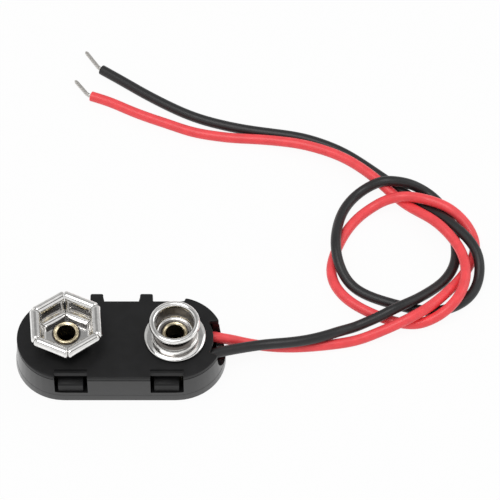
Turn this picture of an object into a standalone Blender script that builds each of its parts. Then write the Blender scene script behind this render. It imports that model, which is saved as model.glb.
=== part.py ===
"""Battery snap connector: a hard two-part shell with a hexagonal socket, a round stud and two leads.

Metres, +Z up. The origin is the centre of the shell's underside. +X points to the stud and the
wire exit, +Y to the moulded hinge that joins the tray to the plate.
"""
from math import acos, asin, cos, pi, radians, sin, tan

import bmesh
import bpy
import numpy as np
from mathutils import Matrix, Vector

MM = 0.001

# Fineness of round pieces and welded points
ROUND_SIDES = 32
END_POINTS = 13
HOLE_SIDES = 24
ROUTE_STEPS = 12
WIRE_POINTS = 80
WELD_DISTANCE = 0.0005 * MM

# Snap pair
SNAP_SPACING = 12.7 * MM

# Shell, whose round ends turn about points at END_CENTRE from the middle
END_CENTRE = 6.4 * MM
END_RADIUS = 5.7 * MM
SHELL_HEIGHT = 4.7 * MM
PLATE_THICKNESS = 0.6 * MM
SEAM_GAP = 0.1 * MM
WALL = 0.8 * MM
FLOOR = 0.8 * MM
TRAY_DRAFT = 0.026
REAR_RECESS_LENGTH = 15.1 * MM
REAR_RECESS_DEPTH = 0.6 * MM
BOSS_HEIGHT = 0.27 * MM
BOSS_MARGIN = 0.9 * MM

# Wire notch in the plate, in line with the slot in the tray's wall
NOTCH_NEAR = 2.66 * MM
NOTCH_FAR = 2.25 * MM
NOTCH_DEPTH = 1.15 * MM
SLOT_SILL = 0.9 * MM

# Latches on the near long side
LATCH_OFFSET = 5.56 * MM
WINDOW_WIDTH = 3.87 * MM
WINDOW_SILL = 1.6 * MM
TONGUE_WIDTH = 2.93 * MM
TONGUE_THICKNESS = 0.6 * MM
TONGUE_SETBACK = 0.55 * MM
NOSE_RECESS = 0.35 * MM
NOSE_HEIGHT = 1.55 * MM
NOSE_CLEARANCE = 0.15 * MM
LIP_RECESS = 0.25 * MM
GROOVE_WIDTH = 0.3 * MM
GROOVE_DEPTH = 0.15 * MM
GROOVE_INSET = 0.25 * MM

# Moulded hinge straps on the far long side
STRAP_OFFSET = 2.93 * MM
STRAP_WIDTH = 1.37 * MM
STRAP_REACH = 1.0 * MM
STRAP_THICKNESS = 0.35 * MM
STRAP_HEIGHT = 1.45 * MM
STRAP_CORNER = 0.34 * MM
STRAP_TOP_DROP = 0.05 * MM

# Contacts
CLEARANCE = 0.03 * MM
CONTACT_FLOOR_LIFT = 0.3 * MM
CONTACT_SHEET = 0.25 * MM
STUD_RIM_RADIUS = 2.97 * MM
STUD_RIM_ROLL = 0.3 * MM
STUD_HEIGHT = 3.36 * MM
STUD_FLANGE_RADIUS = 3.61 * MM
STUD_FLANGE_EDGE = 0.1 * MM
STUD_FILLET = 0.35 * MM
SOCKET_SHEET = 0.22 * MM
SOCKET_THROAT = 2.93 * MM
SOCKET_ROLL_RADIUS = 0.6 * MM
SOCKET_HEIGHT = 3.65 * MM
SOCKET_FILLET = 0.5 * MM
SOCKET_SPLIT = 0.34 * MM
SOCKET_SPLIT_ROOT = 0.06 * MM
SOCKET_SPLIT_RISE = 1.2 * MM
SOCKET_TURN = radians(3.0)
SOCKET_CURL = radians(300.0)
SOCKET_FLOOR_OVERLAP = 0.15 * MM

# Eyelets that rivet the contacts and tags to the plate
EYELET_BORE = 1.1 * MM
EYELET_WALL = 0.17 * MM
EYELET_RING_RADIUS = 1.47 * MM
EYELET_RING_HEIGHT = 0.34 * MM
EYELET_FOOT_HEIGHT = 0.24 * MM

# Solder tags under the plate
TAG_THICKNESS = 0.25 * MM
TAG_RING_WIDTH = 0.7 * MM
TAG_LENGTH = 4.0 * MM
TAG_WIDTH = 1.3 * MM
SOLDER_INSET = 0.65 * MM
SOLDER_RADIUS = 0.6 * MM
SOLDER_DEPTH = 0.75 * MM

# Leads
WIRE_DIAMETER = 1.25 * MM
CONDUCTOR_DIAMETER = 0.5 * MM
LEAD_START_DROP = 0.8 * MM
TABLE_CLEARANCE = 0.025 * MM
BARE_START = 0.4 * MM
BARE_BEND = 0.25

# Points along each lead in millimetres, from inside the shell to its bare end
BLACK_START = (3.0, -1.7)
RED_START = (-1.2, 0.0)
BLACK_ROUTE = [
    (3.9, -2.7, 2.8), (6.4, -2.9, 2.6), (9.6, -1.8, 2.8), (10.9, -1.1, 3.0),
    (13.3, -0.3, 2.5), (15.9, 0.7, 1.95), (21.2, 1.1, 2.1), (25.1, 2.5, 1.7), (27.4, 4.0, 0.9),
    (29.6, 4.5, 1.5), (32.5, 5.6, 2.4), (35.7, 7.9, 1.6), (38.6, 10.9, 0.65), (40.0, 13.9, 0.65),
    (39.6, 19.1, 0.65), (38.1, 22.5, 0.65), (36.3, 24.0, 1.1), (34.0, 24.3, 2.1), (31.4, 24.3, 2.4),
    (29.5, 24.3, 1.3), (27.7, 23.1, 0.7), (26.2, 20.3, 1.0), (25.4, 15.8, 2.05), (25.7, 12.6, 1.7),
    (27.0, 10.2, 0.8), (29.7, 8.3, 0.65), (36.2, 6.3, 0.65), (39.2, 6.8, 0.65), (41.5, 8.4, 0.65),
    (42.6, 10.8, 0.9), (42.7, 13.2, 1.8), (41.6, 15.7, 2.1), (38.9, 18.9, 1.8), (36.1, 21.9, 0.65),
    (32.6, 25.7, 0.65), (28.8, 28.9, 0.65), (25.0, 30.7, 0.65), (16.4, 33.3, 0.65), (9.0, 35.3, 0.65),
    (5.8, 36.9, 0.65), (0.9, 40.1, 0.65), (-3.5, 42.9, 0.65),
]
RED_ROUTE = [
    (0.4, 0.6, 2.9), (3.2, 2.4, 2.6), (6.4, 2.9, 2.6), (9.5, 1.6, 2.7),
    (10.8, 1.0, 3.0), (12.6, 1.2, 2.3), (14.4, 1.8, 1.0), (16.6, 1.4, 0.65), (20.8, 1.2, 0.65),
    (27.2, 2.0, 0.65), (31.1, 3.4, 1.2), (34.0, 4.3, 2.1), (37.2, 6.7, 2.0), (40.7, 11.5, 0.65),
    (42.3, 14.8, 0.65), (42.3, 17.1, 0.65), (41.2, 19.0, 1.3), (39.2, 20.5, 2.1), (36.4, 21.9, 2.1),
    (33.7, 22.0, 2.35), (31.5, 22.1, 1.5), (29.5, 21.3, 0.65), (26.8, 18.1, 0.65), (24.9, 13.2, 0.65),
    (25.2, 10.1, 0.65), (27.5, 7.3, 0.65), (32.0, 4.9, 0.65), (34.9, 4.4, 0.65), (37.5, 5.1, 1.4),
    (39.5, 6.6, 2.1), (40.8, 9.4, 2.2), (40.9, 12.9, 2.1), (39.7, 15.8, 2.1), (37.5, 18.5, 2.1),
    (33.7, 22.2, 0.85), (29.8, 26.2, 0.9), (25.0, 29.1, 0.9), (16.4, 31.9, 0.7), (7.4, 33.6, 0.65),
    (4.2, 35.1, 0.65), (-0.6, 37.1, 0.65), (-4.7, 38.7, 0.65),
]
BLACK_TIP = (-5.6, 46.0, 0.35)
RED_TIP = (-6.8, 41.4, 0.35)

# Levels and places that follow from the sizes above
HALF_SPACING = SNAP_SPACING / 2
REAR_FACE = END_RADIUS - REAR_RECESS_DEPTH
WINDOW_REACH = 1.5 * WALL
PLATE_BOTTOM = SHELL_HEIGHT - PLATE_THICKNESS
RIM_TOP = PLATE_BOTTOM - SEAM_GAP
EYELET_BARREL = EYELET_BORE + EYELET_WALL
HOLE_RADIUS = EYELET_BARREL + CLEARANCE
TAG_TOP = PLATE_BOTTOM - CLEARANCE
TAG_BOTTOM = TAG_TOP - TAG_THICKNESS
SOLDER_TOP = TAG_BOTTOM - CLEARANCE
WIRE_RADIUS = WIRE_DIAMETER / 2
SOCKET_SKIN = SOCKET_SHEET / 20
HINGE_Y = REAR_FACE + STRAP_REACH - STRAP_THICKNESS / 2
HINGE_Z = RIM_TOP + SEAM_GAP / 2


def clear_scene():
    """Start from an empty file."""
    for obj in list(bpy.data.objects):
        bpy.data.objects.remove(obj)


def make_collection(name):
    """Return a new collection linked to the scene."""
    group = bpy.data.collections.new(name)
    bpy.context.scene.collection.children.link(group)
    return group


def make_material(name, colour, roughness, metallic):
    """Return a Principled material."""
    material = bpy.data.materials.new(name)
    material.use_nodes = True
    shader = material.node_tree.nodes["Principled BSDF"]
    shader.inputs["Base Color"].default_value = (*colour, 1.0)
    shader.inputs["Roughness"].default_value = roughness
    shader.inputs["Metallic"].default_value = metallic
    material.diffuse_color = (*colour, 1.0)
    return material


def new_object(name, data, group):
    """Link an object that holds data to a collection."""
    obj = bpy.data.objects.new(name, data)
    group.objects.link(obj)
    return obj


def as_mesh(curve_object, group):
    """Replace a curve object by a mesh object of the same shape with welded caps."""
    bpy.context.view_layer.update()
    graph = bpy.context.evaluated_depsgraph_get()
    mesh = bpy.data.meshes.new_from_object(curve_object.evaluated_get(graph))
    weld(mesh)
    name = curve_object.name
    matrix = curve_object.matrix_world.copy()
    bpy.data.objects.remove(curve_object)
    obj = new_object(name, mesh, group)
    obj.matrix_world = matrix
    return obj


def weld(mesh):
    """Merge the doubled points of a mesh and turn its faces outward."""
    shape = bmesh.new()
    shape.from_mesh(mesh)
    bmesh.ops.remove_doubles(shape, verts=shape.verts, dist=WELD_DISTANCE)
    bmesh.ops.recalc_face_normals(shape, faces=shape.faces)
    shape.to_mesh(mesh)
    shape.free()


def finish_piece(obj, name, material, smooth_angle=None):
    """Name a piece, give it its material and shade its round faces smooth."""
    obj.name = name
    obj.data.name = name
    obj.data.materials.clear()
    obj.data.materials.append(material)
    if smooth_angle is not None:
        obj.data.shade_smooth()
        obj.data.set_sharp_from_angle(angle=radians(smooth_angle))
    return obj


def flat_solid(name, loops, low, high, group):
    """Extrude flat closed loops, outer first and then holes, from one level to another."""
    curve = bpy.data.curves.new(name, "CURVE")
    curve.dimensions = "2D"
    curve.fill_mode = "BOTH"
    curve.extrude = (high - low) / 2
    for loop in loops:
        spline = curve.splines.new("POLY")
        spline.points.add(len(loop) - 1)
        for point, (x, y) in zip(spline.points, loop):
            point.co = (x, y, 0.0, 1.0)
        spline.use_cyclic_u = True
    obj = new_object(name, curve, group)
    obj.location.z = (low + high) / 2
    return as_mesh(obj, group)


def box(name, low, high, group):
    """Return a box between two corners."""
    shape = bmesh.new()
    bmesh.ops.create_cube(shape, size=1.0)
    low, high = Vector(low), Vector(high)
    for vertex in shape.verts:
        middle = (low + high) / 2
        vertex.co = middle + Vector(a * b for a, b in zip(vertex.co, high - low))
    mesh = bpy.data.meshes.new(name)
    shape.to_mesh(mesh)
    shape.free()
    return new_object(name, mesh, group)


def cylinder(name, radius, low, high, sides, group):
    """Return an upright cylinder on the Z axis."""
    shape = bmesh.new()
    middle = Matrix.Translation((0.0, 0.0, (low + high) / 2))
    bmesh.ops.create_cone(shape, cap_ends=True, segments=sides, radius1=radius, radius2=radius,
                          depth=high - low, matrix=middle)
    mesh = bpy.data.meshes.new(name)
    shape.to_mesh(mesh)
    shape.free()
    return new_object(name, mesh, group)


def turned(name, profile, steps, group):
    """Turn a closed profile, which runs down its outer side, about the Z axis."""
    mesh = bpy.data.meshes.new(name)
    points = [(radius, 0.0, height) for radius, height in profile]
    edges = [(i, (i + 1) % len(points)) for i in range(len(points))]
    mesh.from_pydata(points, edges, [])
    obj = new_object(name, mesh, group)
    screw = obj.modifiers.new("turn", "SCREW")
    screw.axis = "Z"
    screw.steps = steps
    screw.render_steps = steps
    screw.use_merge_vertices = True
    screw.merge_threshold = WELD_DISTANCE
    return obj


def arc(centre, radius, start, stop, count):
    """Return points along an arc, with its angles in degrees."""
    angles = np.radians(np.linspace(start, stop, count))
    return [(centre[0] + radius * cos(a), centre[1] + radius * sin(a)) for a in angles]


def combine(target, tool, operation):
    """Cut the tool from the target, or add it, with a modifier that stays on the target."""
    modifier = target.modifiers.new(tool.name, "BOOLEAN")
    modifier.operation = operation
    modifier.solver = "EXACT"
    modifier.object = tool
    tool.hide_render = True
    tool.display_type = "WIRE"


def hold(child, parent):
    """Parent an object and leave it where it is."""
    child.parent = parent
    child.matrix_parent_inverse = parent.matrix_world.inverted()


def shell_outline(stud_end):
    """Return the shell's outline: the given end at the stud, a rear recess and a round end."""
    recess_half = REAR_RECESS_LENGTH / 2
    return (
        stud_end
        + [(recess_half, REAR_FACE), (-recess_half, REAR_FACE)]
        + arc((-END_CENTRE, 0.0), END_RADIUS, 180.0 - recess_angle(), 270.0, END_POINTS)
    )


def recess_angle():
    """Return the angle, in degrees, at which the rear recess cuts the round end at the stud."""
    return np.degrees(acos((REAR_RECESS_LENGTH / 2 - END_CENTRE) / END_RADIUS))


def round_end():
    """Return the tray's end at the stud, a plain arc."""
    return arc((END_CENTRE, 0.0), END_RADIUS, -90.0, recess_angle(), END_POINTS)


def notched_end():
    """Return the plate's end at the stud, with a crescent cut out for the leads."""
    centre = (END_CENTRE, 0.0)
    notch_radius = END_RADIUS - NOTCH_DEPTH
    near = np.degrees(asin(NOTCH_NEAR / END_RADIUS))
    far = np.degrees(asin(NOTCH_FAR / END_RADIUS))
    inner_near = np.degrees(asin(NOTCH_NEAR / notch_radius))
    inner_far = np.degrees(asin(NOTCH_FAR / notch_radius))
    return (
        arc(centre, END_RADIUS, -90.0, -near, 9)
        + arc(centre, notch_radius, -inner_near, inner_far, 9)
        + arc(centre, END_RADIUS, far, recess_angle(), 8)
    )


def cavity_outline():
    """Return the tray's inner outline, one wall inside the shell."""
    radius = END_RADIUS - WALL
    rear = np.degrees(asin((REAR_FACE - WALL) / radius))
    return (
        arc((END_CENTRE, 0.0), radius, -90.0, rear, 15)
        + arc((-END_CENTRE, 0.0), radius, 180.0 - rear, 270.0, 15)
    )


def build_wire_slot(tools):
    """Return a solid in the shape of the round-bottomed slot for the leads in the tray's end."""
    radius = (NOTCH_NEAR + NOTCH_FAR) / 2
    middle = (NOTCH_FAR - NOTCH_NEAR) / 2
    profile = arc((middle, SLOT_SILL + radius), radius, 180.0, 360.0, 13)
    profile += [(NOTCH_FAR, SHELL_HEIGHT), (-NOTCH_NEAR, SHELL_HEIGHT)]
    place = END_CENTRE + END_RADIUS - NOTCH_DEPTH / 2
    return side_solid("wire_slot", profile, place, NOTCH_DEPTH + 2 * WALL, tools)


def build_base_cover(pieces, tools, black):
    """The tray: floor and walls that lean out to the foot, with latch windows and a wire slot."""
    cover = flat_solid("base_cover", [shell_outline(round_end())], 0.0, RIM_TOP, pieces)
    for vertex in cover.data.vertices:
        if vertex.co.z < 0.0:
            vertex.co.x *= 1.0 + TRAY_DRAFT
            vertex.co.y *= 1.0 + TRAY_DRAFT
    cavity = flat_solid("tray_cavity", [cavity_outline()], FLOOR, SHELL_HEIGHT, tools)
    cutters = [cavity, build_wire_slot(tools)]
    for side, centre in (("left", -LATCH_OFFSET), ("right", LATCH_OFFSET)):
        low = (centre - WINDOW_WIDTH / 2, -END_RADIUS - WALL, WINDOW_SILL)
        high = (centre + WINDOW_WIDTH / 2, -END_RADIUS + WINDOW_REACH, SHELL_HEIGHT)
        cutters.append(box("latch_window_" + side, low, high, tools))
    for cutter in cutters:
        combine(cover, cutter, "DIFFERENCE")
    finish_piece(cover, "base_cover", black, 30)
    axis = new_object("hinge_axis", None, pieces)
    axis.location = (0.0, HINGE_Y, HINGE_Z)
    bpy.context.view_layer.update()
    for obj in [cover] + cutters:
        hold(obj, axis)


def build_latch_tongue(side, centre, tools):
    """A springy tongue under the plate, with a nose that stands in the tray's window."""
    outer = -(END_RADIUS - WALL - TONGUE_SETBACK)
    nose_bottom = WINDOW_SILL + NOSE_CLEARANCE
    nose_top = nose_bottom + NOSE_HEIGHT
    nose_face = -(END_RADIUS - NOSE_RECESS)
    profile = [
        (outer + TONGUE_THICKNESS, PLATE_BOTTOM + PLATE_THICKNESS / 2),
        (outer, PLATE_BOTTOM + PLATE_THICKNESS / 2),
        (outer, nose_top),
        (nose_face + NOSE_RECESS / 2, nose_top),
        (nose_face, nose_top - NOSE_RECESS / 2),
        (nose_face, nose_bottom + NOSE_RECESS),
        (outer, nose_bottom),
        (outer + TONGUE_THICKNESS, nose_bottom),
    ]
    return side_solid("latch_tongue_" + side, profile, centre, TONGUE_WIDTH, tools)


def side_solid(name, profile, centre, width, group):
    """Extrude a closed outline in the YZ plane along X, about a centre."""
    obj = flat_solid(name, [profile], -width / 2, width / 2, group)
    upright = Matrix(((0, 0, 1, centre), (1, 0, 0, 0), (0, 1, 0, 0), (0, 0, 0, 1)))
    obj.data.transform(upright @ obj.matrix_world)
    obj.matrix_world = Matrix.Identity(4)
    return obj


def build_contact_plate(pieces, tools, black):
    """The plate: eyelet holes, contact bosses, latch lips and the two tongues."""
    plate = flat_solid("contact_plate", [shell_outline(notched_end())], PLATE_BOTTOM, SHELL_HEIGHT, pieces)
    for side, sign in (("left", -1.0), ("right", 1.0)):
        boss_radius = HOLE_RADIUS + BOSS_MARGIN
        boss_low = SHELL_HEIGHT - PLATE_THICKNESS / 2
        boss = cylinder("boss_" + side, boss_radius, boss_low, SHELL_HEIGHT + BOSS_HEIGHT, ROUND_SIDES,
                        tools)
        boss.location.x = sign * HALF_SPACING
        combine(plate, boss, "UNION")
        centre = sign * LATCH_OFFSET
        tongue = build_latch_tongue(side, centre, tools)
        combine(plate, tongue, "UNION")
        left, right = centre - WINDOW_WIDTH / 2, centre + WINDOW_WIDTH / 2
        lip_face = -END_RADIUS + LIP_RECESS
        lip = box("latch_lip_" + side, (left, -END_RADIUS - WALL, PLATE_BOTTOM - WALL),
                  (right, lip_face, SHELL_HEIGHT + WALL), tools)
        combine(plate, lip, "DIFFERENCE")
        groove_near = lip_face + GROOVE_INSET
        groove = box("latch_groove_" + side, (left, groove_near, SHELL_HEIGHT - GROOVE_DEPTH),
                     (right, groove_near + GROOVE_WIDTH, SHELL_HEIGHT + WALL), tools)
        combine(plate, groove, "DIFFERENCE")
        hole = cylinder("eyelet_hole_" + side, HOLE_RADIUS, 0.0, 2 * SHELL_HEIGHT, HOLE_SIDES, tools)
        hole.location.x = sign * HALF_SPACING
        combine(plate, hole, "DIFFERENCE")
    finish_piece(plate, "contact_plate", black, 30)


def build_hinge_strap(side, centre, pieces, black):
    """A moulded band that leaves the plate's rear edge and returns to the tray's rear wall."""
    inner = REAR_FACE + CLEARANCE
    outer = REAR_FACE + STRAP_REACH
    high = SHELL_HEIGHT - STRAP_TOP_DROP
    low = high - STRAP_HEIGHT
    top_corner = (outer - STRAP_CORNER, high - STRAP_CORNER)
    low_corner = (outer - STRAP_CORNER, low + STRAP_CORNER)
    profile = (
        [(inner, low)]
        + arc(low_corner, STRAP_CORNER, -90.0, 0.0, 5)
        + arc(top_corner, STRAP_CORNER, 0.0, 90.0, 5)
        + [(inner, high), (inner, high - STRAP_THICKNESS)]
        + [(outer - STRAP_THICKNESS, high - STRAP_THICKNESS)]
        + [(outer - STRAP_THICKNESS, low + STRAP_THICKNESS)]
        + [(inner, low + STRAP_THICKNESS)]
    )
    strap = side_solid("hinge_strap_" + side, profile, centre, STRAP_WIDTH, pieces)
    finish_piece(strap, "hinge_strap_" + side, black, 30)


def stud_profile():
    """Return the stud's section, from the top of its rolled rim down its outer side."""
    neck = STUD_RIM_RADIUS - STUD_RIM_ROLL
    mouth = neck - STUD_RIM_ROLL
    roll = (neck, STUD_HEIGHT - STUD_RIM_ROLL)
    flange_top = CLEARANCE + CONTACT_SHEET
    floor_top = CONTACT_FLOOR_LIFT + CONTACT_SHEET
    edge = STUD_FLANGE_RADIUS - STUD_FLANGE_EDGE
    return (
        arc(roll, STUD_RIM_ROLL, 90.0, -90.0, 7)
        + arc((neck + STUD_FILLET, flange_top + STUD_FILLET), STUD_FILLET, 180.0, 270.0, 4)
        + [(edge, flange_top), (STUD_FLANGE_RADIUS, flange_top - STUD_FLANGE_EDGE)]
        + [(STUD_FLANGE_RADIUS, CLEARANCE), (mouth, CLEARANCE)]
        + [(mouth, CONTACT_FLOOR_LIFT), (HOLE_RADIUS, CONTACT_FLOOR_LIFT)]
        + [(HOLE_RADIUS, floor_top)]
        + arc((mouth - STUD_FILLET, floor_top + STUD_FILLET), STUD_FILLET, 270.0, 360.0, 4)
        + arc(roll, STUD_RIM_ROLL, 180.0, 120.0, 3)
    )


def build_stud_contact(pieces, nickel):
    """The stud: a flange, a neck and a rolled rim around a cup."""
    stud = turned("stud_contact", stud_profile(), ROUND_SIDES, pieces)
    stud.location = (HALF_SPACING, 0.0, SHELL_HEIGHT)
    finish_piece(stud, "stud_contact", nickel, 40)


def petal_line():
    """Return the middle of the petal's sheet as (distance from the axis, height) points."""
    half = SOCKET_SHEET / 2
    wall = SOCKET_THROAT + half
    roll = SOCKET_ROLL_RADIUS - half
    floor = CONTACT_FLOOR_LIFT + half
    start = wall - SOCKET_FILLET - SOCKET_FLOOR_OVERLAP
    bend = arc((wall - SOCKET_FILLET, floor + SOCKET_FILLET), SOCKET_FILLET, 270.0, 360.0, 6)
    centre = (SOCKET_THROAT + SOCKET_ROLL_RADIUS, SOCKET_HEIGHT - SOCKET_ROLL_RADIUS)
    curl = arc(centre, roll, 180.0, 180.0 - np.degrees(SOCKET_CURL), 16)
    return [(start, floor)] + bend + curl


def thicken(line, thickness):
    """Return the closed outline of a sheet whose middle follows a line."""
    line = np.array(line)
    along = np.gradient(line, axis=0)
    along /= np.linalg.norm(along, axis=1)[:, None]
    across = np.stack([-along[:, 1], along[:, 0]], axis=1) * thickness / 2
    return np.vstack([line + across, (line - across)[::-1]])


def petal_split(height):
    """Return the width of the slit between two petals, which opens as the wall rises."""
    rise = (height - CONTACT_FLOOR_LIFT) / SOCKET_SPLIT_RISE
    return SOCKET_SPLIT_ROOT + (SOCKET_SPLIT - SOCKET_SPLIT_ROOT) * min(max(rise, 0.0), 1.0)


def build_socket_contact(pieces, tools, nickel):
    """The socket: a hexagonal floor with six petals that roll outward at the top."""
    outline = thicken(petal_line(), SOCKET_SHEET)
    count = len(outline)
    shape = bmesh.new()
    for turn in range(6):
        spin = Matrix.Rotation(SOCKET_TURN + turn * pi / 3, 4, "Z")
        ends = []
        for side in (-1.0, 1.0):
            ring = []
            for distance, height in outline:
                reach = side * (distance * tan(pi / 6) - petal_split(height) / 2)
                ring.append(shape.verts.new(spin @ Vector((distance, reach, height))))
            ends.append(ring)
            for i in range(count // 2 - 1):
                shape.faces.new((ring[i], ring[i + 1], ring[count - 2 - i], ring[count - 1 - i]))
        for i in range(count):
            j = (i + 1) % count
            shape.faces.new((ends[0][i], ends[0][j], ends[1][j], ends[1][i]))
    bmesh.ops.recalc_face_normals(shape, faces=shape.faces)
    mesh = bpy.data.meshes.new("petals")
    shape.to_mesh(mesh)
    shape.free()
    petals = new_object("petals", mesh, tools)

    reach = SOCKET_THROAT + SOCKET_SHEET / 2 - SOCKET_FILLET
    corner = reach / cos(pi / 6)
    low = CONTACT_FLOOR_LIFT - SOCKET_SKIN
    high = CONTACT_FLOOR_LIFT + SOCKET_SHEET + SOCKET_SKIN
    socket = cylinder("socket_contact", corner, low, high, 6, pieces)
    socket.data.transform(Matrix.Rotation(SOCKET_TURN, 4, "Z"))
    hole = cylinder("socket_hole", HOLE_RADIUS, -SHELL_HEIGHT, SHELL_HEIGHT, HOLE_SIDES,
                    tools)
    for obj in (socket, petals, hole):
        obj.location = (-HALF_SPACING, 0.0, SHELL_HEIGHT)
    combine(socket, petals, "UNION")
    combine(socket, hole, "DIFFERENCE")
    finish_piece(socket, "socket_contact", nickel, 40)


def build_eyelet(name, centre, floor_top, pieces, brass):
    """A flanged tube: a rolled ring on the contact's floor and a foot under the solder tag."""
    ring_low = floor_top + CLEARANCE
    ring_roll = EYELET_RING_HEIGHT / 2
    ring = (EYELET_RING_RADIUS - ring_roll, ring_low + ring_roll)
    foot_high = TAG_BOTTOM - CLEARANCE - SHELL_HEIGHT
    foot_low = foot_high - EYELET_FOOT_HEIGHT
    profile = (
        arc(ring, ring_roll, 90.0, -60.0, 6)
        + [(EYELET_BARREL, ring_low), (EYELET_BARREL, foot_high)]
        + [(EYELET_RING_RADIUS, foot_high), (EYELET_RING_RADIUS, foot_low)]
        + [(EYELET_BORE, foot_low), (EYELET_BORE, ring_low + ring_roll)]
    )
    eyelet = turned(name, profile, HOLE_SIDES, pieces)
    eyelet.location = (centre, 0.0, SHELL_HEIGHT)
    finish_piece(eyelet, name, brass, 40)


def tag_place(sign):
    """Return where the solder sits on the tail of the tag under one snap."""
    return sign * (HALF_SPACING - TAG_LENGTH + SOLDER_INSET)


def build_tag(name, sign, pieces, tin):
    """A flat ring around the eyelet with a tail that points to the shell's middle."""
    ring = HOLE_RADIUS + TAG_RING_WIDTH
    half = TAG_WIDTH / 2
    root = np.degrees(asin(half / ring))
    outline = arc((0.0, 0.0), ring, -180.0 + root, 180.0 - root, 22)
    outline += arc((half - TAG_LENGTH, 0.0), half, 90.0, 270.0, 7)
    hole = arc((0.0, 0.0), HOLE_RADIUS, 360.0, 360.0 / HOLE_SIDES, HOLE_SIDES)
    tag = flat_solid(name, [outline, hole], TAG_BOTTOM, TAG_TOP, pieces)
    tag.rotation_euler.z = 0.0 if sign > 0 else pi
    tag.location.x = sign * HALF_SPACING
    finish_piece(tag, name, tin)


def build_solder(name, sign, pieces, solder):
    """A rounded drop of solder under the tag's tail."""
    shape = bmesh.new()
    bmesh.ops.create_uvsphere(shape, u_segments=16, v_segments=8, radius=1.0)
    geometry = shape.verts[:] + shape.edges[:] + shape.faces[:]
    bmesh.ops.bisect_plane(shape, geom=geometry, plane_co=(0, 0, 0), plane_no=(0, 0, 1),
                           clear_outer=True)
    rim = [edge for edge in shape.edges if edge.is_boundary]
    bmesh.ops.contextual_create(shape, geom=rim)
    bmesh.ops.scale(shape, vec=(SOLDER_RADIUS, SOLDER_RADIUS, SOLDER_DEPTH), verts=shape.verts)
    mesh = bpy.data.meshes.new(name)
    shape.to_mesh(mesh)
    shape.free()
    weld(mesh)
    drop = new_object(name, mesh, pieces)
    drop.location = (tag_place(sign), 0.0, SOLDER_TOP)
    finish_piece(drop, name, solder, 60)


def smooth_route(route, count):
    """Return evenly spaced points on the smooth curve through a lead's route points."""
    line = np.array(route) * MM
    line = np.vstack([2 * line[0] - line[1], line, 2 * line[-1] - line[-2]])
    t = np.linspace(0.0, 1.0, ROUTE_STEPS, endpoint=False)[:, None]
    runs = []
    for a, b, c, d in zip(line, line[1:], line[2:], line[3:]):
        bow = t * (2 * a - 5 * b + 4 * c - d + t * (3 * (b - c) + d - a))
        runs.append(b + 0.5 * t * (c - a + bow))
    dense = np.vstack(runs + [line[-2:-1]])
    steps = np.linalg.norm(np.diff(dense, axis=0), axis=1)
    travelled = np.concatenate([[0.0], np.cumsum(steps)])
    places = np.linspace(0.0, travelled[-1], count)
    points = np.stack([np.interp(places, travelled, dense[:, k]) for k in range(3)], axis=1)
    points[:, 2] = np.maximum(points[:, 2], WIRE_RADIUS + TABLE_CLEARANCE)
    return points


def round_wire(name, points, radius, pieces):
    """Return a tube with closed ends along points."""
    curve = bpy.data.curves.new(name, "CURVE")
    curve.dimensions = "3D"
    curve.bevel_depth = radius
    curve.bevel_resolution = 2
    curve.use_fill_caps = True
    spline = curve.splines.new("POLY")
    spline.points.add(len(points) - 1)
    for point, place in zip(spline.points, points):
        point.co = (*place, 1.0)
    return as_mesh(new_object(name, curve, pieces), pieces)


def build_lead(colour, sign, start, route, tip, pieces, jacket, tin):
    """An insulated lead with a bare end on its solder tag and a bare end at its far end."""
    start_height = (PLATE_BOTTOM - LEAD_START_DROP) / MM
    points = smooth_route([(*start, start_height)] + route, WIRE_POINTS)
    wire = round_wire(colour + "_wire", points, WIRE_RADIUS, pieces)
    finish_piece(wire, colour + "_wire", jacket, 50)
    bare_radius = CONDUCTOR_DIAMETER / 2

    first, second = Vector(points[0]), Vector(points[1])
    into_shell = (first - second).normalized()
    start = first + into_shell * CLEARANCE
    solder_side = Vector((tag_place(sign), 0.0, SOLDER_TOP - SOLDER_DEPTH / 2))
    toward = (start - solder_side).normalized()
    stop = solder_side + toward * (SOLDER_RADIUS + CLEARANCE)
    middle = start + into_shell * bare_radius
    inner = round_wire(colour + "_inner_end", [start, middle, stop], bare_radius, pieces)
    finish_piece(inner, colour + "_inner_end", tin, 50)

    last, before = Vector(points[-1]), Vector(points[-2])
    along = (last - before).normalized()
    start = last + along * CLEARANCE
    stop = Vector(tip) * MM
    middle = start + along * BARE_START
    later = middle.lerp(stop, BARE_BEND) + along * BARE_START * BARE_BEND
    far = round_wire(colour + "_far_end", [start, middle, later, stop], bare_radius, pieces)
    finish_piece(far, colour + "_far_end", tin, 50)


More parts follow.
